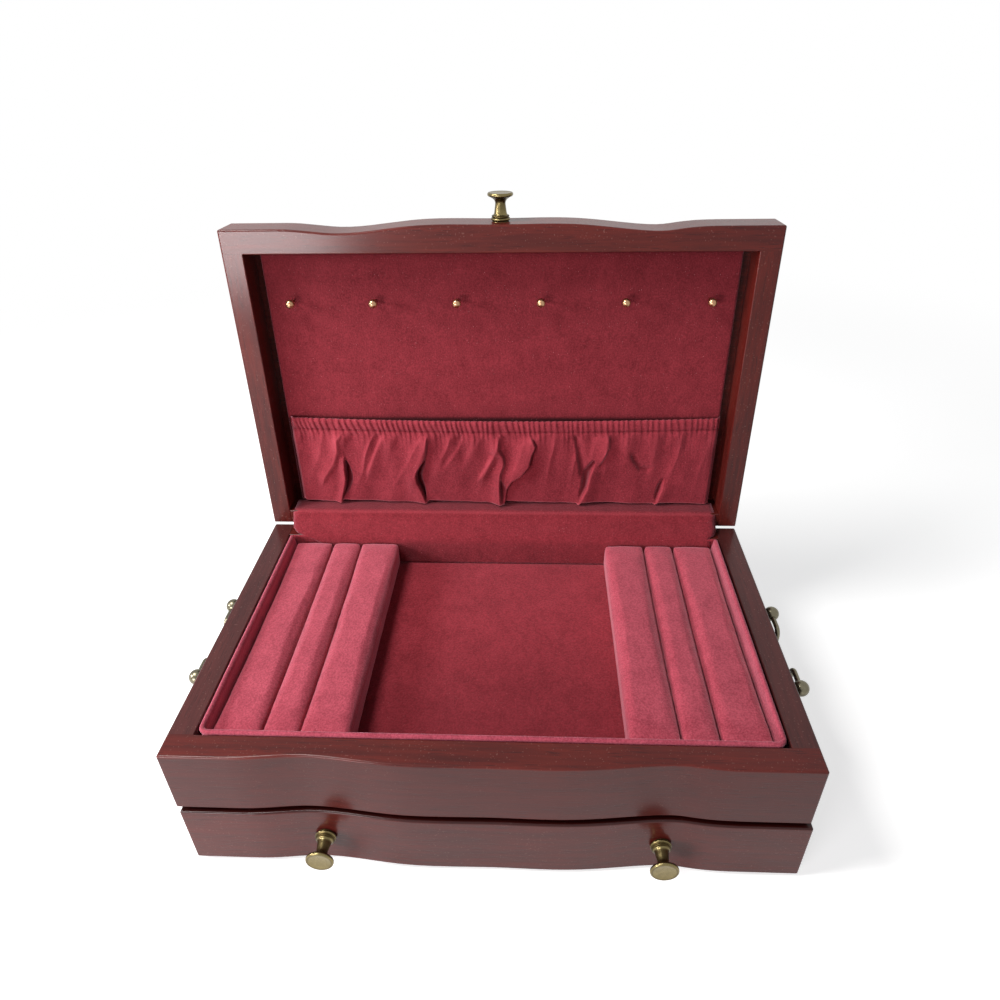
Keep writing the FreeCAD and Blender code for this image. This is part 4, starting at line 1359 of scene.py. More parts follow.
@dataclass
class LidPocket:
    """The gathered pocket: a casing over elastic, fine gathers under it, and folds down to its seam."""

    centre: float = 1.0
    half_width: float = 134.3
    top: float = 71.3
    top_rise: float = 0.8
    bottom: float = 11.4
    hem: float = 6.9
    hem_depth: float = 2.4
    face: float = 4.2
    end_face: float = 8.2
    seam_face: float = 9.0
    lining_face: float = 12.0
    gather: float = 3.6
    lip_round: float = 1.3
    seam_round: float = 1.4
    elastic_rows: tuple[float, ...] = (0.9, 2.3, 3.7, 5.1, 6.3)
    elastic_end_gap: float = 2.0
    elastic_depth: float = 0.9
    elastic_thickness: float = 0.5
    elastic_spacing: float = 3.0
    flat_width: float = 0.365
    feet: tuple[float, ...] = (-134.0, -108.3, -50.6, 0.2, 50.2, 100.6, 136.0)
    folds: tuple[Fold, ...] = (
        Fold(((-100.0, 8.0), (-104.5, 14.0), (-105.2, 22.0), (-108.6, 31.0), (-116.0, 41.0), (-120.0, 50.0)),
             1.5, 3.0, steep=1, end=12.0, tone=0.1, crest_highlight=0.8),
        Fold(((-101.5, 24.0), (-102.4, 34.0), (-102.8, 43.0), (-104.6, 50.0), (-108.0, 60.5)), 2.3, 2.6,
             hollow=5.5, hollow_width=5.4, hollow_ends=(27.0, 59.0), lap=0.6),
        Fold(((-72.7, 8.0), (-77.0, 15.0), (-81.5, 25.0), (-86.3, 36.0), (-88.0, 46.0)), 1.3, 6.0, steep=-1,
             end=14.0, tone=0.0, crest_highlight=0.5),
        Fold(((-47.0, 9.0), (-48.6, 20.0), (-50.6, 28.0), (-54.6, 34.0), (-56.4, 39.0), (-56.0, 44.0),
              (-53.5, 51.0), (-50.6, 60.5)), 2.4, 6.0, hollow=5.0, hollow_width=5.0, hollow_ends=(26.0, 60.0),
             lap=0.5),
        Fold(((-24.5, 8.0), (-28.0, 18.0), (-35.0, 28.0), (-41.0, 37.0)), -1.2, 4.2, steep=1, end=12.0,
             tone=0.3),
        Fold(((-5.0, 22.0), (-10.0, 33.0), (-16.5, 45.0)), 1.2, 3.5, steep=-1, start=6.0, end=8.0, tone=0.0),
        Fold(((-2.0, 9.0), (-2.1, 19.5), (0.8, 25.0), (1.2, 30.0), (-1.3, 37.0), (-1.6, 48.0), (-1.4, 60.5)),
             2.3, 3.6, hollow=2.2, hollow_width=4.0, hollow_ends=(40.0, 60.0)),
        Fold(((17.8, 9.0), (20.4, 16.5), (18.0, 23.0), (16.4, 30.6), (11.3, 37.8), (5.7, 42.0), (1.9, 49.1),
              (0.6, 60.5)), 2.7, 9.0, lap=1.0, hollow=1.2, hollow_width=5.0, hollow_ends=(8.0, 60.0)),
        Fold(((46.5, 8.0), (48.5, 20.0), (51.0, 34.0), (51.5, 42.0)), -2.2, 3.0, steep=-1, end=8.0),
        Fold(((66.6, 8.0), (66.9, 17.0), (63.5, 26.0), (60.5, 32.0)), 1.9, 6.0, steep=1, end=6.0, lap=0.4),
        Fold(((60.0, 28.0), (57.0, 36.0), (55.4, 47.0), (50.2, 60.5)), 2.5, 6.5, steep=-1, start=8.0,
             hollow=2.6, hollow_width=5.0, hollow_ends=(22.0, 60.0)),
        Fold(((81.0, 20.0), (84.5, 28.0), (88.5, 33.5), (93.0, 34.5), (97.0, 31.5)), -1.6, 3.2, steep=-1,
             start=6.0, end=6.0),
        Fold(((104.6, 41.0), (103.4, 49.0), (100.6, 60.5)), 1.9, 6.0, steep=-1, start=8.0, hollow=2.0,
             hollow_width=3.5, hollow_ends=(40.0, 60.0)),
    )
    spacing_x: float = 0.5
    spacing_down: float = 0.95
    thickness: float = 0.7

    def build(self, velvet: bpy.types.Material) -> bpy.types.Object:
        """Makes the pocket.

        Args:
            velvet: the finish that takes the painted shade and highlights in the cloth's folds.

        Returns:
            The piece.
        """
        columns = self._columns()
        path = self._path()
        rows, shades = [], []
        for where in path:
            placed = [self._point(x, phase, where) for x, phase in columns]
            rows.append([point for point, _ in placed])
            shades += [shade for _, shade in placed]
        piece = Bench.from_grid("gathered_pocket", rows)
        Bench.paint(piece, shades)
        Bench.outward(piece)
        Bench.apply(piece, "SOLIDIFY", thickness=self.thickness * MM, offset=-1.0)
        Bench.smooth(piece)
        Bench.dress(piece, velvet, "burgundy_velvet")
        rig.ride(piece, "lid")
        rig.replaces(piece, "lid_pocket")
        length = sum(math.dist(before[:2], after[:2]) for before, after in zip(path, path[1:]))
        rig.sheet(piece, flat=(self.flat_width, length * MM), held="gathered",
                 rests_on=["lid_lining_panel", "casing_elastic"])
        return piece

    def build_elastic(self, tape: bpy.types.Material) -> bpy.types.Object:
        """Makes the elastic in the casing.

        Args:
            tape: its finish.

        Returns:
            The piece.
        """
        end = self.half_width - self.elastic_end_gap
        rows = []
        for down in self.elastic_rows:
            rows.append([LID.at(x + self.centre, self.top - down + self.top_rise * (x / self.half_width) ** 2,
                                self._face_at(x, down) + self.hem_depth - self.elastic_depth)
                         for x in steps(-end, end, self.elastic_spacing)])
        piece = Bench.from_grid("casing_elastic", rows)
        Bench.outward(piece)
        Bench.apply(piece, "SOLIDIFY", thickness=self.elastic_thickness * MM, offset=0.0)
        Bench.smooth(piece, 60.0)
        Bench.dress(piece, tape, "elastic_tape")
        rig.ride(piece, "lid")
        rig.replaces(piece, "pocket_elastic")
        return piece

    def _columns(self) -> list[tuple[float, float]]:
        """Places the columns across the pocket.

        Returns:
            Each column's place across and its place in the run of gathers.
        """
        columns, phase, before = [], 0.0, -self.half_width
        for x in steps(-self.half_width, self.half_width, self.spacing_x):
            width = self.gather * (1.0 + 0.35 * wobble(x * 0.085, 5.2) + 0.45 * wobble(x * 0.27, 1.7))
            phase += 2.0 * math.pi * (x - before) / width
            before = x
            columns.append((x, phase))
        return columns

    def _path(self) -> list[tuple[float, float, PocketPart]]:
        """Draws the pocket's section from inside the casing to its back edge.

        Returns:
            Its points, each as the distance down, the depth in the lid and the part of the pocket.
        """
        back, lip, seam = self.face + self.hem_depth, self.lip_round, self.seam_round
        path = [(down, back, PocketPart.INSIDE) for down in steps(self.hem, lip, 0.9)]
        for degrees in (45.0, 90.0, 135.0):
            angle = math.radians(degrees)
            path.append((lip - lip * math.sin(angle),
                         self.face + self.hem_depth * (0.5 + 0.5 * math.cos(angle)), PocketPart.FOLD))
        room = self.top - self.bottom
        path += [(down, self.face, PocketPart.FACE) for down in steps(lip, room - seam, self.spacing_down)]
        for degrees in (22.5, 45.0, 67.5, 90.0):
            angle = math.radians(degrees)
            path.append((room - seam * (1.0 - math.sin(angle)),
                         self.face + seam * (1.0 - math.cos(angle)), PocketPart.ROLL))
        under = steps(self.face + 2.2, self.lining_face - 0.6, 1.0)
        return path + [(room, into, PocketPart.UNDER) for into in under]

    def _point(self, x: float, phase: float, where: tuple[float, float, PocketPart]) -> tuple[Vector, float]:
        """One point of the pocket.

        Args:
            x: the place across, from the pocket's middle.
            phase: the place in the run of gathers.
            where: the place in the section.

        Returns:
            The point, and its painted shade: up to 1 in a hollow, down to -1 for a painted highlight.
        """
        down, into, part = where
        room = self.top - self.bottom
        lean = 1.7 - 1.1 * ease(x, -60.0, 60.0) + 1.3 * wobble(x * 0.06, 12.0)
        slant = lean * min(down, self.hem + 3.0) / self.hem
        cycle = (phase / (2.0 * math.pi) - 0.32 * slant) % 1.0
        crest = math.sin(0.5 * math.pi * (cycle / 0.66 if cycle < 0.66 else (1.0 - cycle) / 0.34))
        shift, rise, hollow = self._folds(x + self.centre, down)
        keep = part.value
        if part is PocketPart.UNDER:
            keep *= 1.0 - ease(into, self.face + 2.0, self.face + 7.0)
        ruffle, groove = self._ruffle(x, phase, crest, down)
        rise += ruffle
        lip = self.top_rise * (x / self.half_width) ** 2 * (1.0 - down / room)
        edge = 0.55 * (crest - 0.6) * math.exp(-down / 2.0)
        side = self.half_width - abs(x)
        tuck_in = (1.0 - ease(side, 0.0, 2.6)) * 3.2
        wave = self._wave(x + self.centre) * ease(down, room - 12.0, room)
        depth = into - self.face + self._face_at(x, down)
        if part is PocketPart.UNDER:
            depth = min(self.lining_face - 0.6, depth)
        depth = min(self.lining_face - 0.7, depth - keep * rise + tuck_in)
        place = LID.at(x + self.centre + keep * shift, self.top - down + lip + edge + wave, depth)
        # Painted shade in the folds' hollows and between the gathers, and a painted highlight along the rolled bottom
        # edge.
        shade = 0.7 * hollow + 0.75 * groove - (0.8 if part is PocketPart.ROLL else 0.0)
        return place, 0.0 if part is PocketPart.INSIDE else max(-1.0, min(1.0, shade))

    def _face_at(self, x: float, down: float) -> float:
        """How deep in the lid the pocket's face lies: bowed forward in the middle of its top edge."""
        bow = self.end_face - (self.end_face - self.face) * (1.0 - (x / self.half_width) ** 2)
        return bow + (self.seam_face - bow) * ease(down, 6.0, 62.0)

    def _ruffle(self, x: float, phase: float, crest: float, down: float) -> tuple[float, float]:
        """The small gathers in the casing and under it.

        Args:
            x: the place across the pocket.
            phase: the place in the run of gathers.
            crest: the height of the gather there, from 0 to 1.
            down: the distance under the pocket's top edge.

        Returns:
            How far the cloth is raised, and its painted shade: darker between two gathers and along the stitches,
            paler on their crests.
        """
        stitch = math.exp(-((down - self.hem) / 0.62) ** 2)
        uneven = 1.0 + 0.65 * wobble(x * 0.19, 3.0) + 0.4 * wobble(x * 0.5, 7.0)
        uneven *= 1.0 - 0.35 * ease(x, -20.0, 50.0)
        if down < self.hem:
            puff = math.sin(math.pi * min(1.0, max(0.0, down / self.hem)) ** 0.8)
            rise = (0.85 * uneven * crest - 0.42) * (0.55 + 0.45 * puff) + 0.35 * puff - 0.45 * stitch
            # Painted shade between the gathers and along the stitches, less on the crests.
            groove = max(0.16 * uneven * (1.0 - crest) ** 1.8, 0.6 * stitch)
            return rise, groove - 0.25 * ease(crest, 0.5, 1.0)
        below = down - self.hem
        reach = 2.6 + 6.0 * max(0.0, wobble(x * 0.11, 8.0) + 0.25)
        fade = math.exp(-below / reach)
        fine = (0.95 * uneven * crest - 0.48) * fade
        double = math.sin(0.25 * phase + 0.4 - 0.05 * below) * 0.75
        double *= ease(below, 1.0, 5.0) * math.exp(-below / 12.0)
        soft = 0.85 * wobble(x * 0.07 + 0.012 * below, below * 0.018, 2.0) * ease(below, 4.0, 16.0)
        sag = 0.7 * ease(below, 4.0, 30.0)
        lean = x + (0.42 - 0.34 * ease(x, -40.0, 70.0)) * below + 2.0 * wobble(x * 0.04, below * 0.05, 5.0)
        ridge = (1.0 - min(1.0, abs(wobble(lean * 0.062, below * 0.006, 7.0)) / 0.30)) ** 2
        held = ease(below, 0.0, 6.0) * (1.0 - 0.85 * ease(below, 10.0, 46.0))
        # Painted shade between the gathers and along the stitches, and painted highlights on the crests and ridges.
        groove = max(0.16 * uneven * (1.0 - crest) ** 1.8 * fade, 0.6 * stitch)
        groove -= 0.28 * ease(crest, 0.6, 1.0) * fade + 0.26 * ridge * held - 0.04 * (1.0 - ridge) * held
        swell = (1.25 - 0.45 * ease(x, -30.0, 60.0)) * ridge * held
        return fine + double + soft + sag + swell - 0.45 * stitch, groove

    def _folds(self, x: float, down: float) -> tuple[float, float, float]:
        """What the folds do at a place.

        Args:
            x: the place across the box.
            down: the distance under the pocket's top edge.

        Returns:
            The move across, the rise, and the painted shade: darker in hollows and along steep sides, paler on crests.
        """
        shift, rise, shade = 0.0, 0.0, 0.0
        for fold in self.folds:
            reach = 3.0 * max(fold.width, fold.hollow_width)
            across = [place[0] for place in fold.crest]
            if not min(across) - reach < x < max(across) + reach:
                continue
            gap, along, length = self._nearest(fold.crest, x, down)
            strength = ease(along, -0.5, fold.start) * ease(length - along, -0.5, fold.end)
            if strength <= 0.0:
                continue
            if fold.steep:
                gap *= fold.steep
            flank = 1.05 if fold.steep and gap > 0.0 else fold.width
            rise += fold.height * strength * math.exp(-(gap / flank) ** 2)
            shift += fold.lap * fold.steep * strength * math.exp(-((gap + 0.5) / 1.6) ** 2)
            # Painted shade in a groove, or a painted highlight on a crest with painted shade along its steep side.
            if fold.height < 0.0:
                shade += 0.55 * strength * math.exp(-(gap / 1.6) ** 2)
            else:
                shade -= fold.crest_highlight * strength * math.exp(-(gap / 0.9) ** 2)
                if gap > 0.0:
                    shade += fold.tone * strength * math.exp(-((gap - 1.1) / 0.7) ** 2)
            if fold.hollow and 0.0 < gap < fold.hollow_width:
                low, high = fold.hollow_ends
                lens = math.sin(math.pi * min(1.0, max(0.0, (down - low) / (high - low))) ** 0.85) ** 0.8
                wide = fold.hollow_width * max(0.15, lens)
                bowl = math.sin(math.pi * min(1.0, gap / wide) ** 0.75) if gap < wide else 0.0
                rise -= fold.hollow * lens * bowl
                # Painted shade in the hollow.
                shade += min(0.8, 0.32 * fold.hollow * lens * bowl)
        return shift, rise, shade

    @staticmethod
    def _nearest(line: tuple[tuple[float, float], ...], x: float, down: float) -> tuple[float, float, float]:
        """The place on a line that is nearest.

        Args:
            line: the line's points, from its top.
            x: the place across.
            down: the place down.

        Returns:
            The distance from the line (positive on its right), how far along it that is, and its length.
        """
        best = (1e9, 0.0)
        run = 0.0
        for first, second in zip(line, line[1:]):
            way = (second[0] - first[0], second[1] - first[1])
            length = math.hypot(*way)
            part = ((x - first[0]) * way[0] + (down - first[1]) * way[1]) / length ** 2
            held = min(1.0, max(0.0, part))
            gap = math.hypot(x - first[0] - held * way[0], down - first[1] - held * way[1])
            if gap < abs(best[0]):
                side = (x - first[0]) * way[1] - (down - first[1]) * way[0]
                beyond = (first == line[0] and part < 0.0) or (second == line[-1] and part > 1.0)
                best = (math.copysign(gap, side), run + (part if beyond else held) * length)
            run += length
        return best[0], best[1], run

    def _wave(self, x: float) -> float:
        """Works out the bottom edge's waves between the folds' feet.

        Args:
            x: the place across the box.

        Returns:
            How far the edge rises.
        """
        for before, after in zip(self.feet, self.feet[1:]):
            if before <= x < after:
                part = (x - before) / (after - before)
                return 1.5 * (1.0 - part) * ease(part, 0.0, 0.05) - 0.5
        return 0.0


@dataclass
class HingeFlap:
    """The velvet from the ledge in the lid, over the hinges and down the tray's rear wall."""

    half_width: float = 138.4
    thickness: float = 0.9
    across: float = 3.0
    along: float = 1.1
    crease: float = 11.6
    ledge_shade: float = 0.42
    crease_highlight: float = 0.40
    lid_part: tuple[tuple[float, float], ...] = (
        (10.6, 11.4), (10.0, 7.0), (9.5, 2.6), (9.0, 0.4), (7.9, -1.4), (6.0, -2.4),
    )
    case_part: tuple[tuple[float, float], ...] = (
        (87.6, 86.2), (83.4, 83.4), (80.2, 80.4), (78.8, 77.0), (78.7, 73.0), (78.7, 60.6),
    )
    left_edge: tuple[tuple[float, float], ...] = (
        (60.0, -119.0), (76.0, -119.5), (77.5, -121.5), (79.1, -126.0), (80.8, -131.5), (82.4, -135.6),
        (84.5, -137.6), (87.5, -138.4), (90.5, -138.4), (92.5, -137.6), (93.0, -136.9),
    )
    right_edge: tuple[tuple[float, float], ...] = (
        (60.0, 134.2), (81.0, 134.2), (82.6, 137.4), (84.5, 138.4), (90.5, 138.4), (92.5, 137.6), (93.0, 136.9),
    )

    def build(self, velvet: bpy.types.Material) -> bpy.types.Object:
        """Makes the flap.

        Args:
            velvet: its finish.

        Returns:
            The piece.
        """
        section = self._section()
        rows, shades = [], []
        for index, (y, z) in enumerate(section):
            run = index / (len(section) - 1)
            down = index * self.along
            # Painted shade on the ledge, and a painted highlight along the crease.
            tone = self.ledge_shade * (1.0 - ease(down, 8.5, 10.5))
            tone -= self.crease_highlight * math.exp(-((down - self.crease) / 0.7) ** 2)
            low, high = self._at(self.left_edge, z), self._at(self.right_edge, z)
            row = []
            for part in steps(0.0, 1.0, self.across / (2.0 * self.half_width)):
                x = low + (high - low) * part
                loose = ease(run, 0.12, 0.35) * (1.0 - ease(run, 0.50, 0.66))
                lift = 0.5 * wobble(x * 0.022, run * 2.0, 4.0) * loose
                end = min(x - low, high - x)
                curl = (1.0 - ease(end, 0.0, 3.5)) * 1.3 * loose
                row.append(Vector((x, y - lift + curl, z - 0.4 * lift - 0.6 * curl)) * MM)
                shades.append(tone)
            rows.append(row)
        piece = Bench.from_grid("hinge_flap_velvet", rows)
        Bench.paint(piece, shades)
        Bench.outward(piece)
        Bench.apply(piece, "SOLIDIFY", thickness=self.thickness * MM, offset=-1.0)
        Bench.smooth(piece)
        Bench.dress(piece, velvet, "burgundy_velvet")
        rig.replaces(piece, "hinge_flap")
        length = sum(math.dist(before, after) for before, after in zip(section, section[1:]))
        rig.sheet(piece, flat=(2.0 * self.half_width * MM, length * MM), held="hung",
                 rests_on=["lid_back_rail", "case_back"])
        start, end = self.case_part[1], self._lid_place(*self.lid_part[3])
        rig.blend(piece, "case", "lid", (0.0, start[0] * MM, start[1] * MM), (0.0, end[0] * MM, end[1] * MM))
        return piece

    @staticmethod
    def _lid_place(along: float, into: float) -> tuple[float, float]:
        """A place in the open lid's section, as y and z in millimetres."""
        place = LID.at(0.0, along, into) / MM
        return place.y, place.z

    def _section(self) -> list[tuple[float, float]]:
        """Draws the flap's section from the lid's ledge to the tray's floor.

        Returns:
            One smooth line of even steps, as y and z.
        """
        knots = [self._lid_place(along, into) for along, into in self.lid_part] + list(self.case_part)
        curve = smooth_line(knots, 12)
        return even_line(curve, self.along)

    @staticmethod
    def _at(edge: tuple[tuple[float, float], ...], height: float) -> float:
        """Finds a side edge at a height.

        Args:
            edge: the edge's points, as heights and places across.
            height: the height.

        Returns:
            The place across.
        """
        if height <= edge[0][0]:
            return edge[0][1]
        for (low, first), (high, second) in zip(edge, edge[1:]):
            if height <= high:
                return first + (second - first) * ease(height, low, high)
        return edge[-1][1]


# ---- The tray's velvet --------------------------------------------------------------------------


class Side(Enum):
    """The left or the right of the box."""

    LEFT = -1
    RIGHT = 1


@dataclass
class RingRoll:
    """One stuffed roll of a ring pad, in millimetres."""

    word: str
    near_edge: float
    far_edge: float
    side: Side
    front: float = -76.4
    rear: float = 78.5
    floor: float = 60.5
    top: float = 76.8
    start_inset: float = 0.5
    corner: float = 1.0
    voxel: float = 1.8
    cap: float = 0.9
    slit: float = 0.01
    pressure: float = 4.0
    cloth_mass: float = 0.15
    stretch: float = 15.0
    shear: float = 5.0
    bend: float = 0.5
    frames: int = 20

    def build(self, velvet: bpy.types.Material) -> bpy.types.Object:
        """Makes the roll: a rounded block, swollen as cloth and settled between its neighbours.

        Args:
            velvet: its finish.

        Returns:
            The piece.
        """
        name = f"ring_roll_{self.side.name.lower()}_{self.word}"
        piece = self._blank(name + "_velvet")
        Bench.apply(piece, "REMESH", mode="VOXEL", voxel_size=self.voxel * MM)
        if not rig.quick():
            self._swell(piece)
        Bench.apply(piece, "SUBSURF", levels=1, render_levels=1)
        self._settle(piece)
        Bench.smooth(piece)
        Bench.dress(piece, velvet, "burgundy_velvet")
        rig.ride(piece, "case")
        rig.replaces(piece, name)
        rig.padded(piece, fill=0.8)
        return piece

    def _bounds(self) -> tuple[float, float]:
        """The roll's lower and higher place across the box."""
        ends = (self.near_edge * self.side.value, self.far_edge * self.side.value)
        return min(ends), max(ends)

    def _blank(self, name: str) -> bpy.types.Object:
        """Makes a block a little smaller than the roll, with its upper edges rounded.

        Args:
            name: the piece's name.

        Returns:
            The piece.
        """
        low, high = self._bounds()
        inset = self.start_inset
        size = (high - low - 2 * inset, self.rear - self.front - inset, self.top - self.floor - inset)
        centre = ((low + high) / 2, (self.front + self.rear) / 2, self.floor + size[2] / 2)
        Bench.clear()
        bpy.ops.mesh.primitive_cube_add(size=1.0, location=[value * MM for value in centre])
        piece = bpy.context.active_object
        piece.name = name
        bpy.ops.object.mode_set(mode="EDIT")
        bpy.ops.transform.resize(value=[value * MM for value in size])
        bpy.ops.mesh.select_all(action="DESELECT")
        bpy.ops.mesh.select_mode(type="EDGE")
        mesh = bmesh.from_edit_mesh(piece.data)
        for edge in mesh.edges:
            middle = (edge.verts[0].co + edge.verts[1].co) / 2
            level = abs(edge.verts[0].co.z - edge.verts[1].co.z) < 1e-6
            edge.select = level and middle.z > 0.3 * size[2] * MM
        mesh.select_flush_mode()
        bmesh.update_edit_mesh(piece.data)
        bpy.ops.mesh.bevel(offset=self.corner * MM, segments=3, affect="EDGES")
        bpy.ops.object.mode_set(mode="OBJECT")
        Bench.still(piece)
        return piece

    def _swell(self, piece: bpy.types.Object) -> None:
        """Blows the roll up as a bag of cloth, and keeps every point near where it was.

        Args:
            piece: the roll.
        """
        before = [vertex.co.copy() for vertex in piece.data.vertices]
        Bench.pick(piece)
        modifier = piece.modifiers.new("cloth", "CLOTH")
        cloth = modifier.settings
        cloth.use_pressure = True
        cloth.uniform_pressure_force = self.pressure
        cloth.quality = 5
        cloth.mass = self.cloth_mass
        cloth.tension_stiffness = self.stretch
        cloth.compression_stiffness = self.stretch
        cloth.shear_stiffness = self.shear
        cloth.bending_stiffness = self.bend
        cloth.effector_weights.gravity = 0.0
        modifier.point_cache.frame_start = 1
        modifier.point_cache.frame_end = self.frames
        for number in range(1, self.frames + 1):
            bpy.context.scene.frame_set(number)
        bpy.ops.object.modifier_apply(modifier=modifier.name)
        for vertex, old in zip(piece.data.vertices, before):
            move = vertex.co - old
            if move.length > self.cap * MM:
                vertex.co = old + move.normalized() * self.cap * MM
        bpy.context.scene.frame_set(1)

    def _settle(self, piece: bpy.types.Object) -> None:
        """Presses the roll flat on the mat and against its neighbours, and gives it its uneven skin.

        Args:
            piece: the roll.
        """
        low, high = self._bounds()
        middle = (low + high) / 2
        seed = 10.0 * self.near_edge * self.side.value
        for vertex in piece.data.vertices:
            x, y, z = (value / MM for value in vertex.co)
            uneven = 0.45 * wobble(x * 0.05 + seed, y * 0.045, z * 0.05)
            uneven += 0.16 * wobble(x * 0.2, y * 0.22, z * 0.2)
            crown = 0.5 * (1.0 - ((x - middle) / (high - low) * 2.0) ** 2)
            if z > self.floor + 4.0:
                z += (uneven + crown) * ease(z, self.floor + 4.0, self.top)
            x += (0.15 + 0.35 * abs(uneven)) * (1.0 if x > middle else -1.0)
            x = min(high - self.slit, max(low + self.slit, x))
            y = min(self.rear, max(self.front, y))
            z = min(self.top + 0.7, max(self.floor, z))
            vertex.co = Vector((x, y, z)) * MM


@dataclass
class RingPads:
    """The two ring pads of three rolls each."""

    rolls: tuple[tuple[str, float, float], ...] = (
        ("outer", 110.0, 134.3),
        ("middle", 91.5, 110.0),
        ("inner", 66.5, 91.5),
    )

    def build(self, velvet: bpy.types.Material) -> list[bpy.types.Object]:
        """Makes all six rolls."""
        return [RingRoll(word, near_edge, far_edge, side).build(velvet)
                for side in Side for word, near_edge, far_edge in self.rolls]


@dataclass
class TrayLiner:
    """The velvet wall round the tray's front and sides: thin card, rounded over at its top."""

    outer_x: float = 137.0
    front_y: float = -79.3
    rear_y: float = 78.6
    wall: float = 2.5
    low: float = 59.0
    top: float = 81.8
    corner: float = 3.2
    side_lean: float = 1.2
    front_lean: float = 0.6
    rear_top: float = 80.2
    rear_back: float = 81.1
    rear_wall: float = 1.2
    rear_gap: float = 0.2

    def build(self, velvet: bpy.types.Material) -> bpy.types.Object:
        """Makes the wall as one sweep round the tray.

        Args:
            velvet: its finish.

        Returns:
            The piece.
        """
        path = self._path()
        rows = []
        for index, (x, y) in enumerate(path):
            before = path[max(0, index - 1)]
            after = path[min(len(path) - 1, index + 1)]
            along = Vector((after[0] - before[0], after[1] - before[1], 0.0)).normalized()
            inward = Vector((-along.y, along.x, 0.0))
            bend = 0.22 * wobble(index * 0.045, 2.0) + 0.08 * wobble(index * 0.22, 6.0)
            lift = 0.16 * wobble(index * 0.06, 11.0) + 0.06 * wobble(index * 0.3, 4.0)
            rows.append([self._section_point(x, y, inward, across, height, bend, lift)
                         for across, height in self._section()])
        piece = Bench.from_grid("tray_wall_velvet", rows)
        self._close(piece)
        # Painted light: the left wall below its top is painted paler, where it lies in shade.
        shades = [-0.5 * (1.0 - ease(vertex.co.x, -0.132, -0.126)) * (1.0 - ease(vertex.co.z, 0.0790, 0.0808))
                  for vertex in piece.data.vertices]
        Bench.paint(piece, shades)
        Bench.outward(piece)
        Bench.smooth(piece, 70.0)
        Bench.dress(piece, velvet, "burgundy_velvet")
        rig.ride(piece, "case")
        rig.replaces(piece, "tray_liner_front", "tray_liner_left", "tray_liner_right")
        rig.padded(piece, fill=0.95)
        return piece

    def build_rear(self, velvet: bpy.types.Material) -> bpy.types.Object:
        """Makes the thinner wall at the tray's rear, which the hinge flap hangs over.

        Args:
            velvet: its finish.

        Returns:
            The piece.
        """
        piece = SoftSlab("tray_rear_wall_velvet", 2 * self.outer_x - self.rear_gap, self.rear_top - self.low,
                         self.rear_wall, self._rear_place, self._rear_relief, edge=0.5, cell=4.0).build()
        Bench.dress(piece, velvet, "burgundy_velvet")
        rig.ride(piece, "case")
        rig.replaces(piece, "tray_liner_rear")
        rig.padded(piece, fill=1.0)
        return piece

    def _rear_place(self, x: float, y: float, up: float) -> Vector:
        """A place in the rear wall, from the middle of its back."""
        return Vector((x, self.rear_back - up, (self.low + self.rear_top) / 2 + y)) * MM

    @staticmethod
    def _rear_relief(x: float, y: float) -> float:
        """How far the rear wall's face rises."""
        return 0.08 * wobble(x * 0.05, y * 0.05, 5.0)

    def _path(self) -> list[tuple[float, float]]:
        """Draws the wall's middle line.

        Returns:
            Its points, from the rear left to the rear right.
        """
        half = self.wall / 2
        x, y = self.outer_x - half, self.front_y + half
        path = [(-x, place) for place in steps(self.rear_y, y + self.corner, 2.0)]
        for degrees in range(15, 91, 15):
            angle = math.radians(degrees)
            path.append((-x + self.corner * (1.0 - math.cos(angle)), y + self.corner * (1.0 - math.sin(angle))))
        path += [(place, y) for place in steps(-x + self.corner, x - self.corner, 2.0)[1:]]
        for degrees in range(15, 91, 15):
            angle = math.radians(degrees)
            path.append((x - self.corner * (1.0 - math.sin(angle)), y + self.corner * (1.0 - math.cos(angle))))
        path += [(x, place) for place in steps(y + self.corner, self.rear_y, 2.0)[1:]]
        return path

    def _section(self) -> list[tuple[float, float]]:
        """Draws the wall's section: inside face, rounded top and outside face.

        Returns:
            Its points, as places inwards and heights.
        """
        half = self.wall / 2
        section = [(half, height) for height in steps(self.low, self.top - half, 2.2)]
        for degrees in range(20, 180, 20):
            angle = math.radians(degrees)
            section.append((half * math.cos(angle), self.top - half + half * math.sin(angle)))
        section += [(-half, height) for height in steps(self.top - half, self.low, 2.2)]
        return section

    def _section_point(self, x: float, y: float, inward: Vector, across: float, height: float, bend: float,
                       lift: float) -> Vector:
        """Makes a point of the wall.

        Args:
            x: the middle line's place across the box.
            y: its place from front to back.
            inward: the way inwards.
            across: how far inwards the point lies.
            height: its height.
            bend: how far the wall waves inwards there.
            lift: how far its top waves up there.

        Returns:
            The point, in metres.
        """
        loose = ease(height, self.low + 6.0, self.top)
        lean = self.side_lean * abs(inward.x) + self.front_lean * abs(inward.y)
        out = lean * ease(height, self.low + 12.0, self.top)
        place = Vector((x, y, height + lift * loose)) + inward * (across - out + bend * loose * 0.6)
        return place * MM

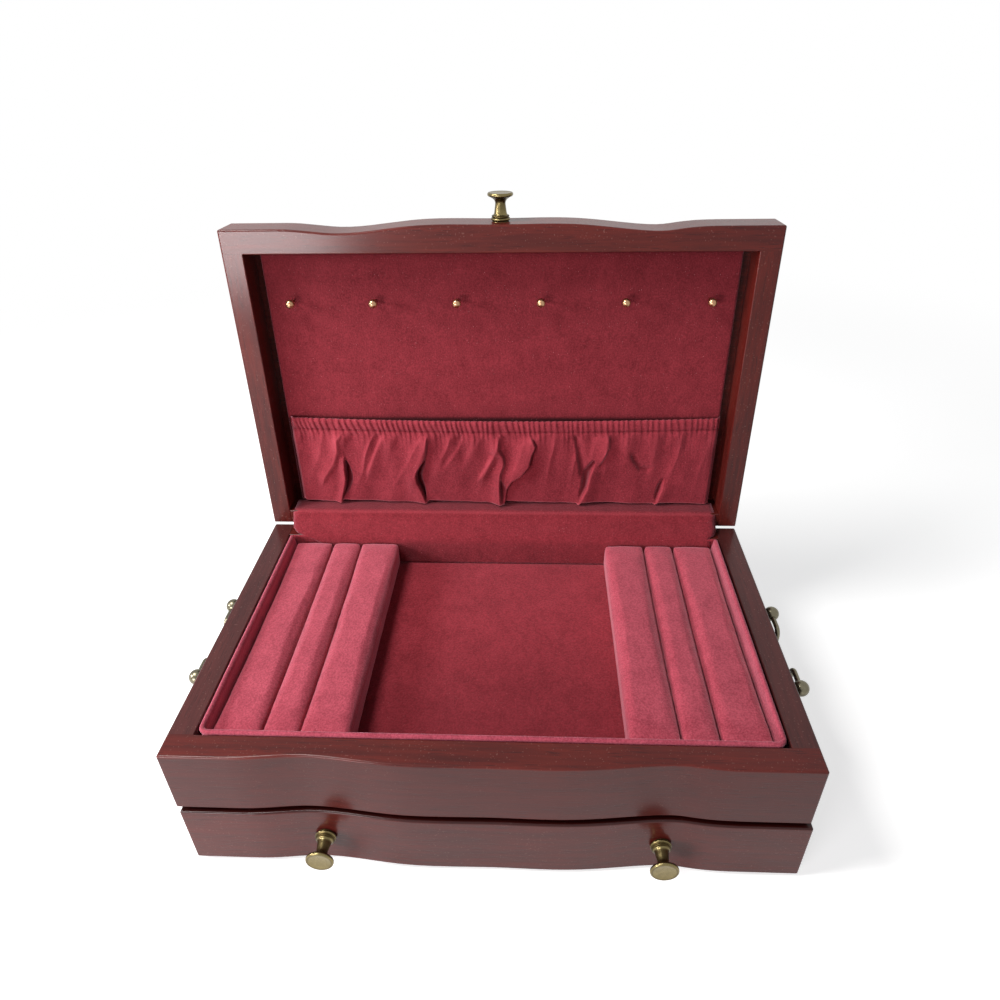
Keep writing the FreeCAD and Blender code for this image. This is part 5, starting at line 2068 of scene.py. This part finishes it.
    @staticmethod
    def _close(piece: bpy.types.Object) -> None:
        """Closes the wall's foot and its ends.

        Args:
            piece: the wall.
        """
        Bench.pick(piece)
        bpy.ops.object.mode_set(mode="EDIT")
        bpy.ops.mesh.select_all(action="DESELECT")
        bpy.ops.mesh.select_mode(type="EDGE")
        mesh = bmesh.from_edit_mesh(piece.data)
        lowest = min(vertex.co.z for vertex in mesh.verts)
        for edge in mesh.edges:
            edge.select = edge.is_boundary and all(abs(vertex.co.z - lowest) < 1e-5 for vertex in edge.verts)
        mesh.select_flush_mode()
        bmesh.update_edit_mesh(piece.data)
        bpy.ops.mesh.bridge_edge_loops()
        bpy.ops.mesh.select_all(action="DESELECT")
        bpy.ops.mesh.select_non_manifold()
        bpy.ops.mesh.edge_face_add()
        bpy.ops.mesh.select_all(action="DESELECT")
        bpy.ops.object.mode_set(mode="OBJECT")


@dataclass
class FlatVelvets:
    """The velvet floors of the tray and the drawer, and the felt under the base."""

    brushing_and_shade: tuple[float, float, float] = (-72.0, 30.0, 0.40)

    def build(self, velvet: bpy.types.Material, felt: bpy.types.Material) -> list[bpy.types.Object]:
        """Makes the three pieces.

        Args:
            velvet: the floors' finish.
            felt: the base's finish.

        Returns:
            The pieces.
        """
        made = []
        jobs = (("tray_floor_velvet", "tray_mat", "case", velvet, "burgundy_velvet", 0.14, 1),
                ("drawer_floor_velvet", "drawer_mat", "drawer", velvet, "burgundy_velvet", 0.12, 1),
                ("base_felt_sheet", "base_felt", "case", felt, "dark_felt", 0.0, -1))
        for name, node, body, material, slot, uneven, way in jobs:
            piece = self._slab(name, node, uneven, way)
            if node == "tray_mat":
                # Painted shade: the tray's floor darkens towards its front.
                near, far, depth = self.brushing_and_shade
                shades = [depth * (1.0 - ease(vertex.co.y / MM, near, far)) for vertex in piece.data.vertices]
                Bench.paint(piece, shades)
            Bench.dress(piece, material, slot)
            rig.ride(piece, body)
            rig.replaces(piece, node)
            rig.padded(piece, fill=1.0)
            made.append(piece)
        return made

    @staticmethod
    def _slab(name: str, node: str, uneven: float, way: int) -> bpy.types.Object:
        """Makes a flat piece with softened edges, as large as its CAD node.

        Args:
            name: the piece's name.
            node: the CAD node.
            uneven: how uneven its face is.
            way: 1 if its face is up, -1 if it is down.

        Returns:
            The piece.
        """
        low, high = node_box(node)
        middle, size = (low + high) / 2, high - low
        base = low.z if way > 0 else high.z

        def place(x: float, y: float, up: float) -> Vector:
            """A place in the piece, from the middle of its back."""
            return Vector((middle.x + x, middle.y + y, base + way * up)) * MM

        def relief(x: float, y: float) -> float:
            """How far its face rises."""
            return uneven * wobble(x * 0.03, y * 0.03, 7.0) + 0.3 * uneven * wobble(x * 0.13, y * 0.13, 2.0)

        return SoftSlab(name, size.x, size.y, size.z, place, relief, edge=0.5, cell=3.0).build()


@dataclass
class DrawerLining:
    """The velvet round the drawer's inner walls."""

    half_width: float = 130.0
    front: float = -80.4
    rear: float = 65.7
    low: float = 10.5
    top: float = 36.2
    thickness: float = 1.2
    corner_inset: float = 1.6
    round_height: float = 0.6
    spacing: float = 4.0

    def build(self, velvet: bpy.types.Material) -> bpy.types.Object:
        """Makes the lining as one band round the drawer.

        Args:
            velvet: its finish.

        Returns:
            The lining.
        """
        path = self._path()
        section = self._section()
        rows = []
        for (x, y), inward in path:
            rows.append([(Vector((x, y, height)) + inward * across) * MM for across, height in section])
        piece = Bench.from_grid("drawer_wall_velvet", rows, closed=True)
        Bench.outward(piece)
        Bench.smooth(piece, 50.0)
        Bench.dress(piece, velvet, "burgundy_velvet")
        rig.ride(piece, "drawer")
        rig.replaces(piece, "drawer_wall_lining")
        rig.padded(piece, fill=1.0)
        return piece

    def _path(self) -> list[tuple[tuple[float, float], Vector]]:
        """Draws the wall line round the drawer.

        Returns:
            Its points, each with the way inwards.
        """
        path: list[tuple[tuple[float, float], Vector]] = []
        corners = ((-self.half_width, self.front), (self.half_width, self.front),
                   (self.half_width, self.rear), (-self.half_width, self.rear))
        for index, corner in enumerate(corners):
            following = corners[(index + 1) % 4]
            along = Vector((following[0] - corner[0], following[1] - corner[1], 0.0)).normalized()
            inward = Vector((-along.y, along.x, 0.0))
            length = math.dist(corner, following)
            for run in steps(self.corner_inset, length - self.corner_inset, self.spacing):
                path.append(((corner[0] + along.x * run, corner[1] + along.y * run), inward))
            turned = Vector((-along.x, -along.y, 0.0))
            path.append((following, (inward + turned)))
        return path

    def _section(self) -> list[tuple[float, float]]:
        """Draws the lining's section.

        Returns:
            A closed loop of places inwards and heights.
        """
        inner, start = self.thickness, self.top - self.round_height
        loop = [(inner, height) for height in steps(self.low, start, self.spacing)[:-1]]
        for degrees in range(0, 181, 30):
            angle = math.radians(degrees)
            loop.append((inner * (0.5 + 0.5 * math.cos(angle)), start + self.round_height * math.sin(angle)))
        loop += [(0.0, height) for height in steps(start, self.low, self.spacing)[1:]]
        return loop + loop[:1]


# ---- Turned brass -------------------------------------------------------------------------------


def lathe(name: str, line: Sequence[tuple[float, float]], seat: Vector, way: Vector,
          segments: int = 48) -> bpy.types.Object:
    """Turns a piece: its profile is drawn point by point and spun round its axis.

    Args:
        name: the piece's name.
        line: its profile, as heights and radii in millimetres.
        seat: the middle of its foot, in metres.
        way: the way that it points.
        segments: the steps round it.

    Returns:
        The piece.
    """
    side = Vector((1.0, 0.0, 0.0))
    points = [seat + way * (height * MM) + side * (radius * MM) for height, radius in line]
    Bench.clear()
    bpy.ops.mesh.primitive_plane_add(size=0.001, location=points[0])
    piece = bpy.context.active_object
    piece.name = name
    bpy.ops.object.mode_set(mode="EDIT")
    bpy.ops.mesh.select_mode(type="VERT")
    bpy.ops.mesh.select_all(action="SELECT")
    bpy.ops.mesh.merge(type="CENTER")
    for before, after in zip(points, points[1:]):
        bpy.ops.mesh.extrude_region_move(TRANSFORM_OT_translate={"value": after - before})
    bpy.ops.mesh.select_all(action="SELECT")
    bpy.ops.mesh.spin(steps=segments, angle=2.0 * math.pi, center=seat, axis=way)
    bpy.ops.mesh.select_all(action="SELECT")
    bpy.ops.mesh.remove_doubles(threshold=1e-6)
    bpy.ops.mesh.select_all(action="DESELECT")
    bpy.ops.mesh.select_mode(type="EDGE")
    bpy.ops.mesh.select_non_manifold()
    bpy.ops.mesh.edge_face_add()
    bpy.ops.object.mode_set(mode="OBJECT")
    Bench.still(piece)
    Bench.outward(piece)
    return piece


@dataclass
class NecklaceHooks:
    """The six ball-headed pins for necklaces, in millimetres."""

    spots: tuple[float, ...] = HOOK_SPOTS
    along: float = HOOK_FROM_HINGE
    foot_into: float = 12.8
    head_into: float = 5.0
    head: float = 2.6
    stem: float = 0.8

    def build(self, brass: bpy.types.Material) -> bpy.types.Object:
        """Makes the hooks: one is turned, and the others are its copies.

        Args:
            brass: their finish.

        Returns:
            The piece.
        """
        seat = LID.at(self.spots[0], self.along, self.foot_into)
        way = (LID.at(self.spots[0], self.along, self.head_into) - seat).normalized()
        hook = lathe("turned_necklace_hooks", self._line(), seat, way, segments=28)
        copies = [hook]
        for spot in self.spots[1:]:
            copy = hook.copy()
            copy.data = hook.data.copy()
            bpy.context.scene.collection.objects.link(copy)
            for vertex in copy.data.vertices:
                vertex.co.x += (spot - self.spots[0]) * MM
            copies.append(copy)
        Bench.clear()
        for copy in copies:
            copy.select_set(True)
        bpy.context.view_layer.objects.active = hook
        bpy.ops.object.join()
        Bench.smooth(hook, 50.0)
        Bench.dress(hook, brass, "antique_brass")
        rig.ride(hook, "lid")
        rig.replaces(hook, "necklace_hooks")
        return hook

    def _line(self) -> list[tuple[float, float]]:
        """Draws one hook's profile: a thin stem and a ball.

        Returns:
            Its points, as heights and radii.
        """
        middle = self.foot_into - self.head_into
        start = math.asin(self.stem / self.head)
        ball = [(middle - self.head * math.cos(angle), self.head * math.sin(angle))
                for angle in steps(start, math.pi, 0.2)]
        return [(0.0, self.stem), *ball]


@dataclass
class TurnedKnobs:
    """The three turned knobs: a foot, a bead, a ring, a waisted neck and a wide flat face, in millimetres."""

    profile: tuple[tuple[float, float], ...] = (
        (0.0, 4.6), (0.55, 4.65), (0.8, 4.4), (1.0, 4.9), (1.5, 5.35), (2.0, 5.2), (2.35, 4.75), (2.55, 4.5),
        (2.8, 4.75), (3.2, 4.8), (3.5, 4.5), (3.75, 3.9), (4.6, 3.45), (6.6, 3.15), (8.8, 2.85), (10.2, 2.9),
        (11.4, 3.6), (12.4, 4.9), (12.9, 5.9), (13.15, 6.5), (13.6, 6.9), (14.3, 6.95), (14.8, 6.7),
        (15.0, 6.3), (14.92, 5.6), (14.75, 4.0), (14.65, 2.0), (14.6, 0.0),
    )
    grooves: tuple[tuple[float, float, float], ...] = ((0.8, 0.25, 0.9), (2.35, 0.25, 0.8), (3.4, 0.3, 0.9),
                                                       (12.8, 0.5, 0.8), (9.0, 3.2, 0.35))
    seats: tuple[tuple[str, str, tuple[float, float, float], tuple[float, float, float]], ...] = (
        ("drawer_knob_left", "drawer", (-81.8, -91.7, 21.0), (0.0, -1.0, 0.0)),
        ("drawer_knob_right", "drawer", (84.2, -91.7, 21.0), (0.0, -1.0, 0.0)),
    )
    lid_seat: tuple[float, float, float] = (1.5, 187.4, 11.0)
    face_from: float = 13.6
    face_ring: tuple[float, float, float] = (6.0, 0.35, 0.5)

    def build(self, brass: bpy.types.Material) -> list[bpy.types.Object]:
        """Makes the three knobs.

        Args:
            brass: their finish, which darkens in the hollows.

        Returns:
            The knobs.
        """
        x, along, into = self.lid_seat
        foot = LID.at(x, along, into)
        outward = (LID.at(x, along + 1.0, into) - foot).normalized()
        seats = [(node, body, Vector(seat) * MM, Vector(way)) for node, body, seat, way in self.seats]
        seats.append(("lid_knob", "lid", foot, outward))
        made = []
        for node, body, seat, way in seats:
            piece = lathe(f"turned_{node}", self._fine(), seat, way)
            self._darken(piece, seat, way)
            Bench.smooth(piece, 42.0)
            Bench.dress(piece, brass, "antique_brass")
            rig.ride(piece, body)
            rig.replaces(piece, node)
            made.append(piece)
        return made

    def _fine(self) -> list[tuple[float, float]]:
        """The profile with a point about every 0.3 mm."""
        return even_line(smooth_line(self.profile, 6), 0.3)

    def _darken(self, piece: bpy.types.Object, seat: Vector, way: Vector) -> None:
        """Paints how deep in a groove each point lies.

        Args:
            piece: the knob.
            seat: the middle of its foot, in metres.
            way: the way that it points.
        """
        shades = []
        for vertex in piece.data.vertices:
            height = (vertex.co - seat).dot(way) / MM
            out = ((vertex.co - seat) - way * (vertex.co - seat).dot(way)).length / MM
            shade = sum(depth * math.exp(-((height - place) / width) ** 2)
                        for place, width, depth in self.grooves)
            ring, ring_width, ring_shade = self.face_ring
            rim = ring_shade * math.exp(-((out - ring) / ring_width) ** 2)
            shades.append(min(1.0, shade) if height < self.face_from else rim)
        Bench.paint(piece, shades)


# ---- The frame's own nodes ----------------------------------------------------------------------


class FrameDress:
    """Gives each CAD node its finish."""

    def dress(self) -> None:
        """Puts a finish on every CAD node."""
        wood_x = StainedWood("mahogany_along_x", Grain.ALONG_X).material()
        wood_z = StainedWood("mahogany_along_z", Grain.ALONG_Z).material()
        plain_x = BareWood("hardwood_along_x", Grain.ALONG_X).material()
        plain_y = BareWood("hardwood_along_y", Grain.ALONG_Y).material()
        velvet = Velvet("burgundy_velvet").material()
        brass = AgedBrass("aged_brass").material()
        dull_brass = HANDLE_BRASS.material()
        steel = PlainSteel("plain_steel").material()
        felt = Felt("dark_felt").material()
        finishes = (
            (("case_left_side", "case_right_side"), SIDE_WOOD.material()),
            (("lid_left_stile", "lid_right_stile"), wood_z),
            (("lid_front_rail", "lid_back_rail", "lid_top", "case_back"), wood_x),
            (("case_front_rail",), RAIL_WOOD.material()),
            (("drawer_front",), DRAWER_WOOD.material()),
            (("tray_cleat_left", "tray_cleat_right", "drawer_runner_left", "drawer_runner_right",
              "drawer_left_side", "drawer_right_side"), plain_y),
            (("drawer_stop", "drawer_back"), plain_x),
            (("case_bottom",), Plywood("case_bottom_ply", 0.002).material()),
            (("tray_board",), Plywood("tray_board_ply", 0.055).material()),
            (("drawer_bottom",), Plywood("drawer_bottom_ply", 0.006).material()),
            (("base_felt",), felt),
            (("case_corner_brads", "lid_corner_brads", "lid_knob_screw", "drawer_knob_screws"), steel),
            (tuple(name for name in frame["nodes"] if name.startswith(("hinge_", "lid_hinge", "case_hinge"))
                   and name != "hinge_flap"), brass),
            (("necklace_hooks",), brass),
            (tuple(name for name in frame["nodes"] if name.startswith(("handle_", "bail_"))), dull_brass),
        )
        done = set()
        for names, material in finishes:
            for name in names:
                self._give(frame["nodes"][name], material)
                done.add(name)
        for name, node in frame["nodes"].items():
            if name not in done:
                self._give(node, velvet)

    @staticmethod
    def _give(node: bpy.types.Object, material: bpy.types.Material) -> None:
        """Replaces a node's materials with one."""
        node.data.materials.clear()
        node.data.materials.append(material)


# ---- Main ---------------------------------------------------------------------------------------


def write_sizes() -> None:
    low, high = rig.bounds()
    sizes = {"cad": [list(cad_low), list(cad_high)], "visual": [list(low), list(high)]}
    with open("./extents.json", "w") as file:
        json.dump(sizes, file)


def main() -> None:
    """Builds the box's looks."""
    logging.basicConfig(level=logging.INFO, format="%(name)s: %(message)s")
    Studio().build()
    FrameDress().dress()
    velvet = SOFT_VELVET.material()
    lid_velvet = LID_VELVET.material()
    LidLining().build(lid_velvet)
    LidPocket().build_elastic(ElasticTape("elastic_tape").material())
    LidPocket().build(GATHERED_VELVET.material())
    TurnedKnobs().build(KNOB_BRASS.material())
    NecklaceHooks().build(HOOK_BRASS.material())
    HingeFlap().build(lid_velvet)
    RingPads().build(PAD_VELVET.material())
    TrayLiner().build(WALL_VELVET.material())
    TrayLiner().build_rear(velvet)
    FlatVelvets().build(velvet, Felt("pressed_felt").material())
    DrawerLining().build(velvet)
    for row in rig.table()["pieces"]:
        log.info("%s rides on %s", row["piece"], row["bodies"])
    write_sizes()


if __name__ == "__main__":
    main()
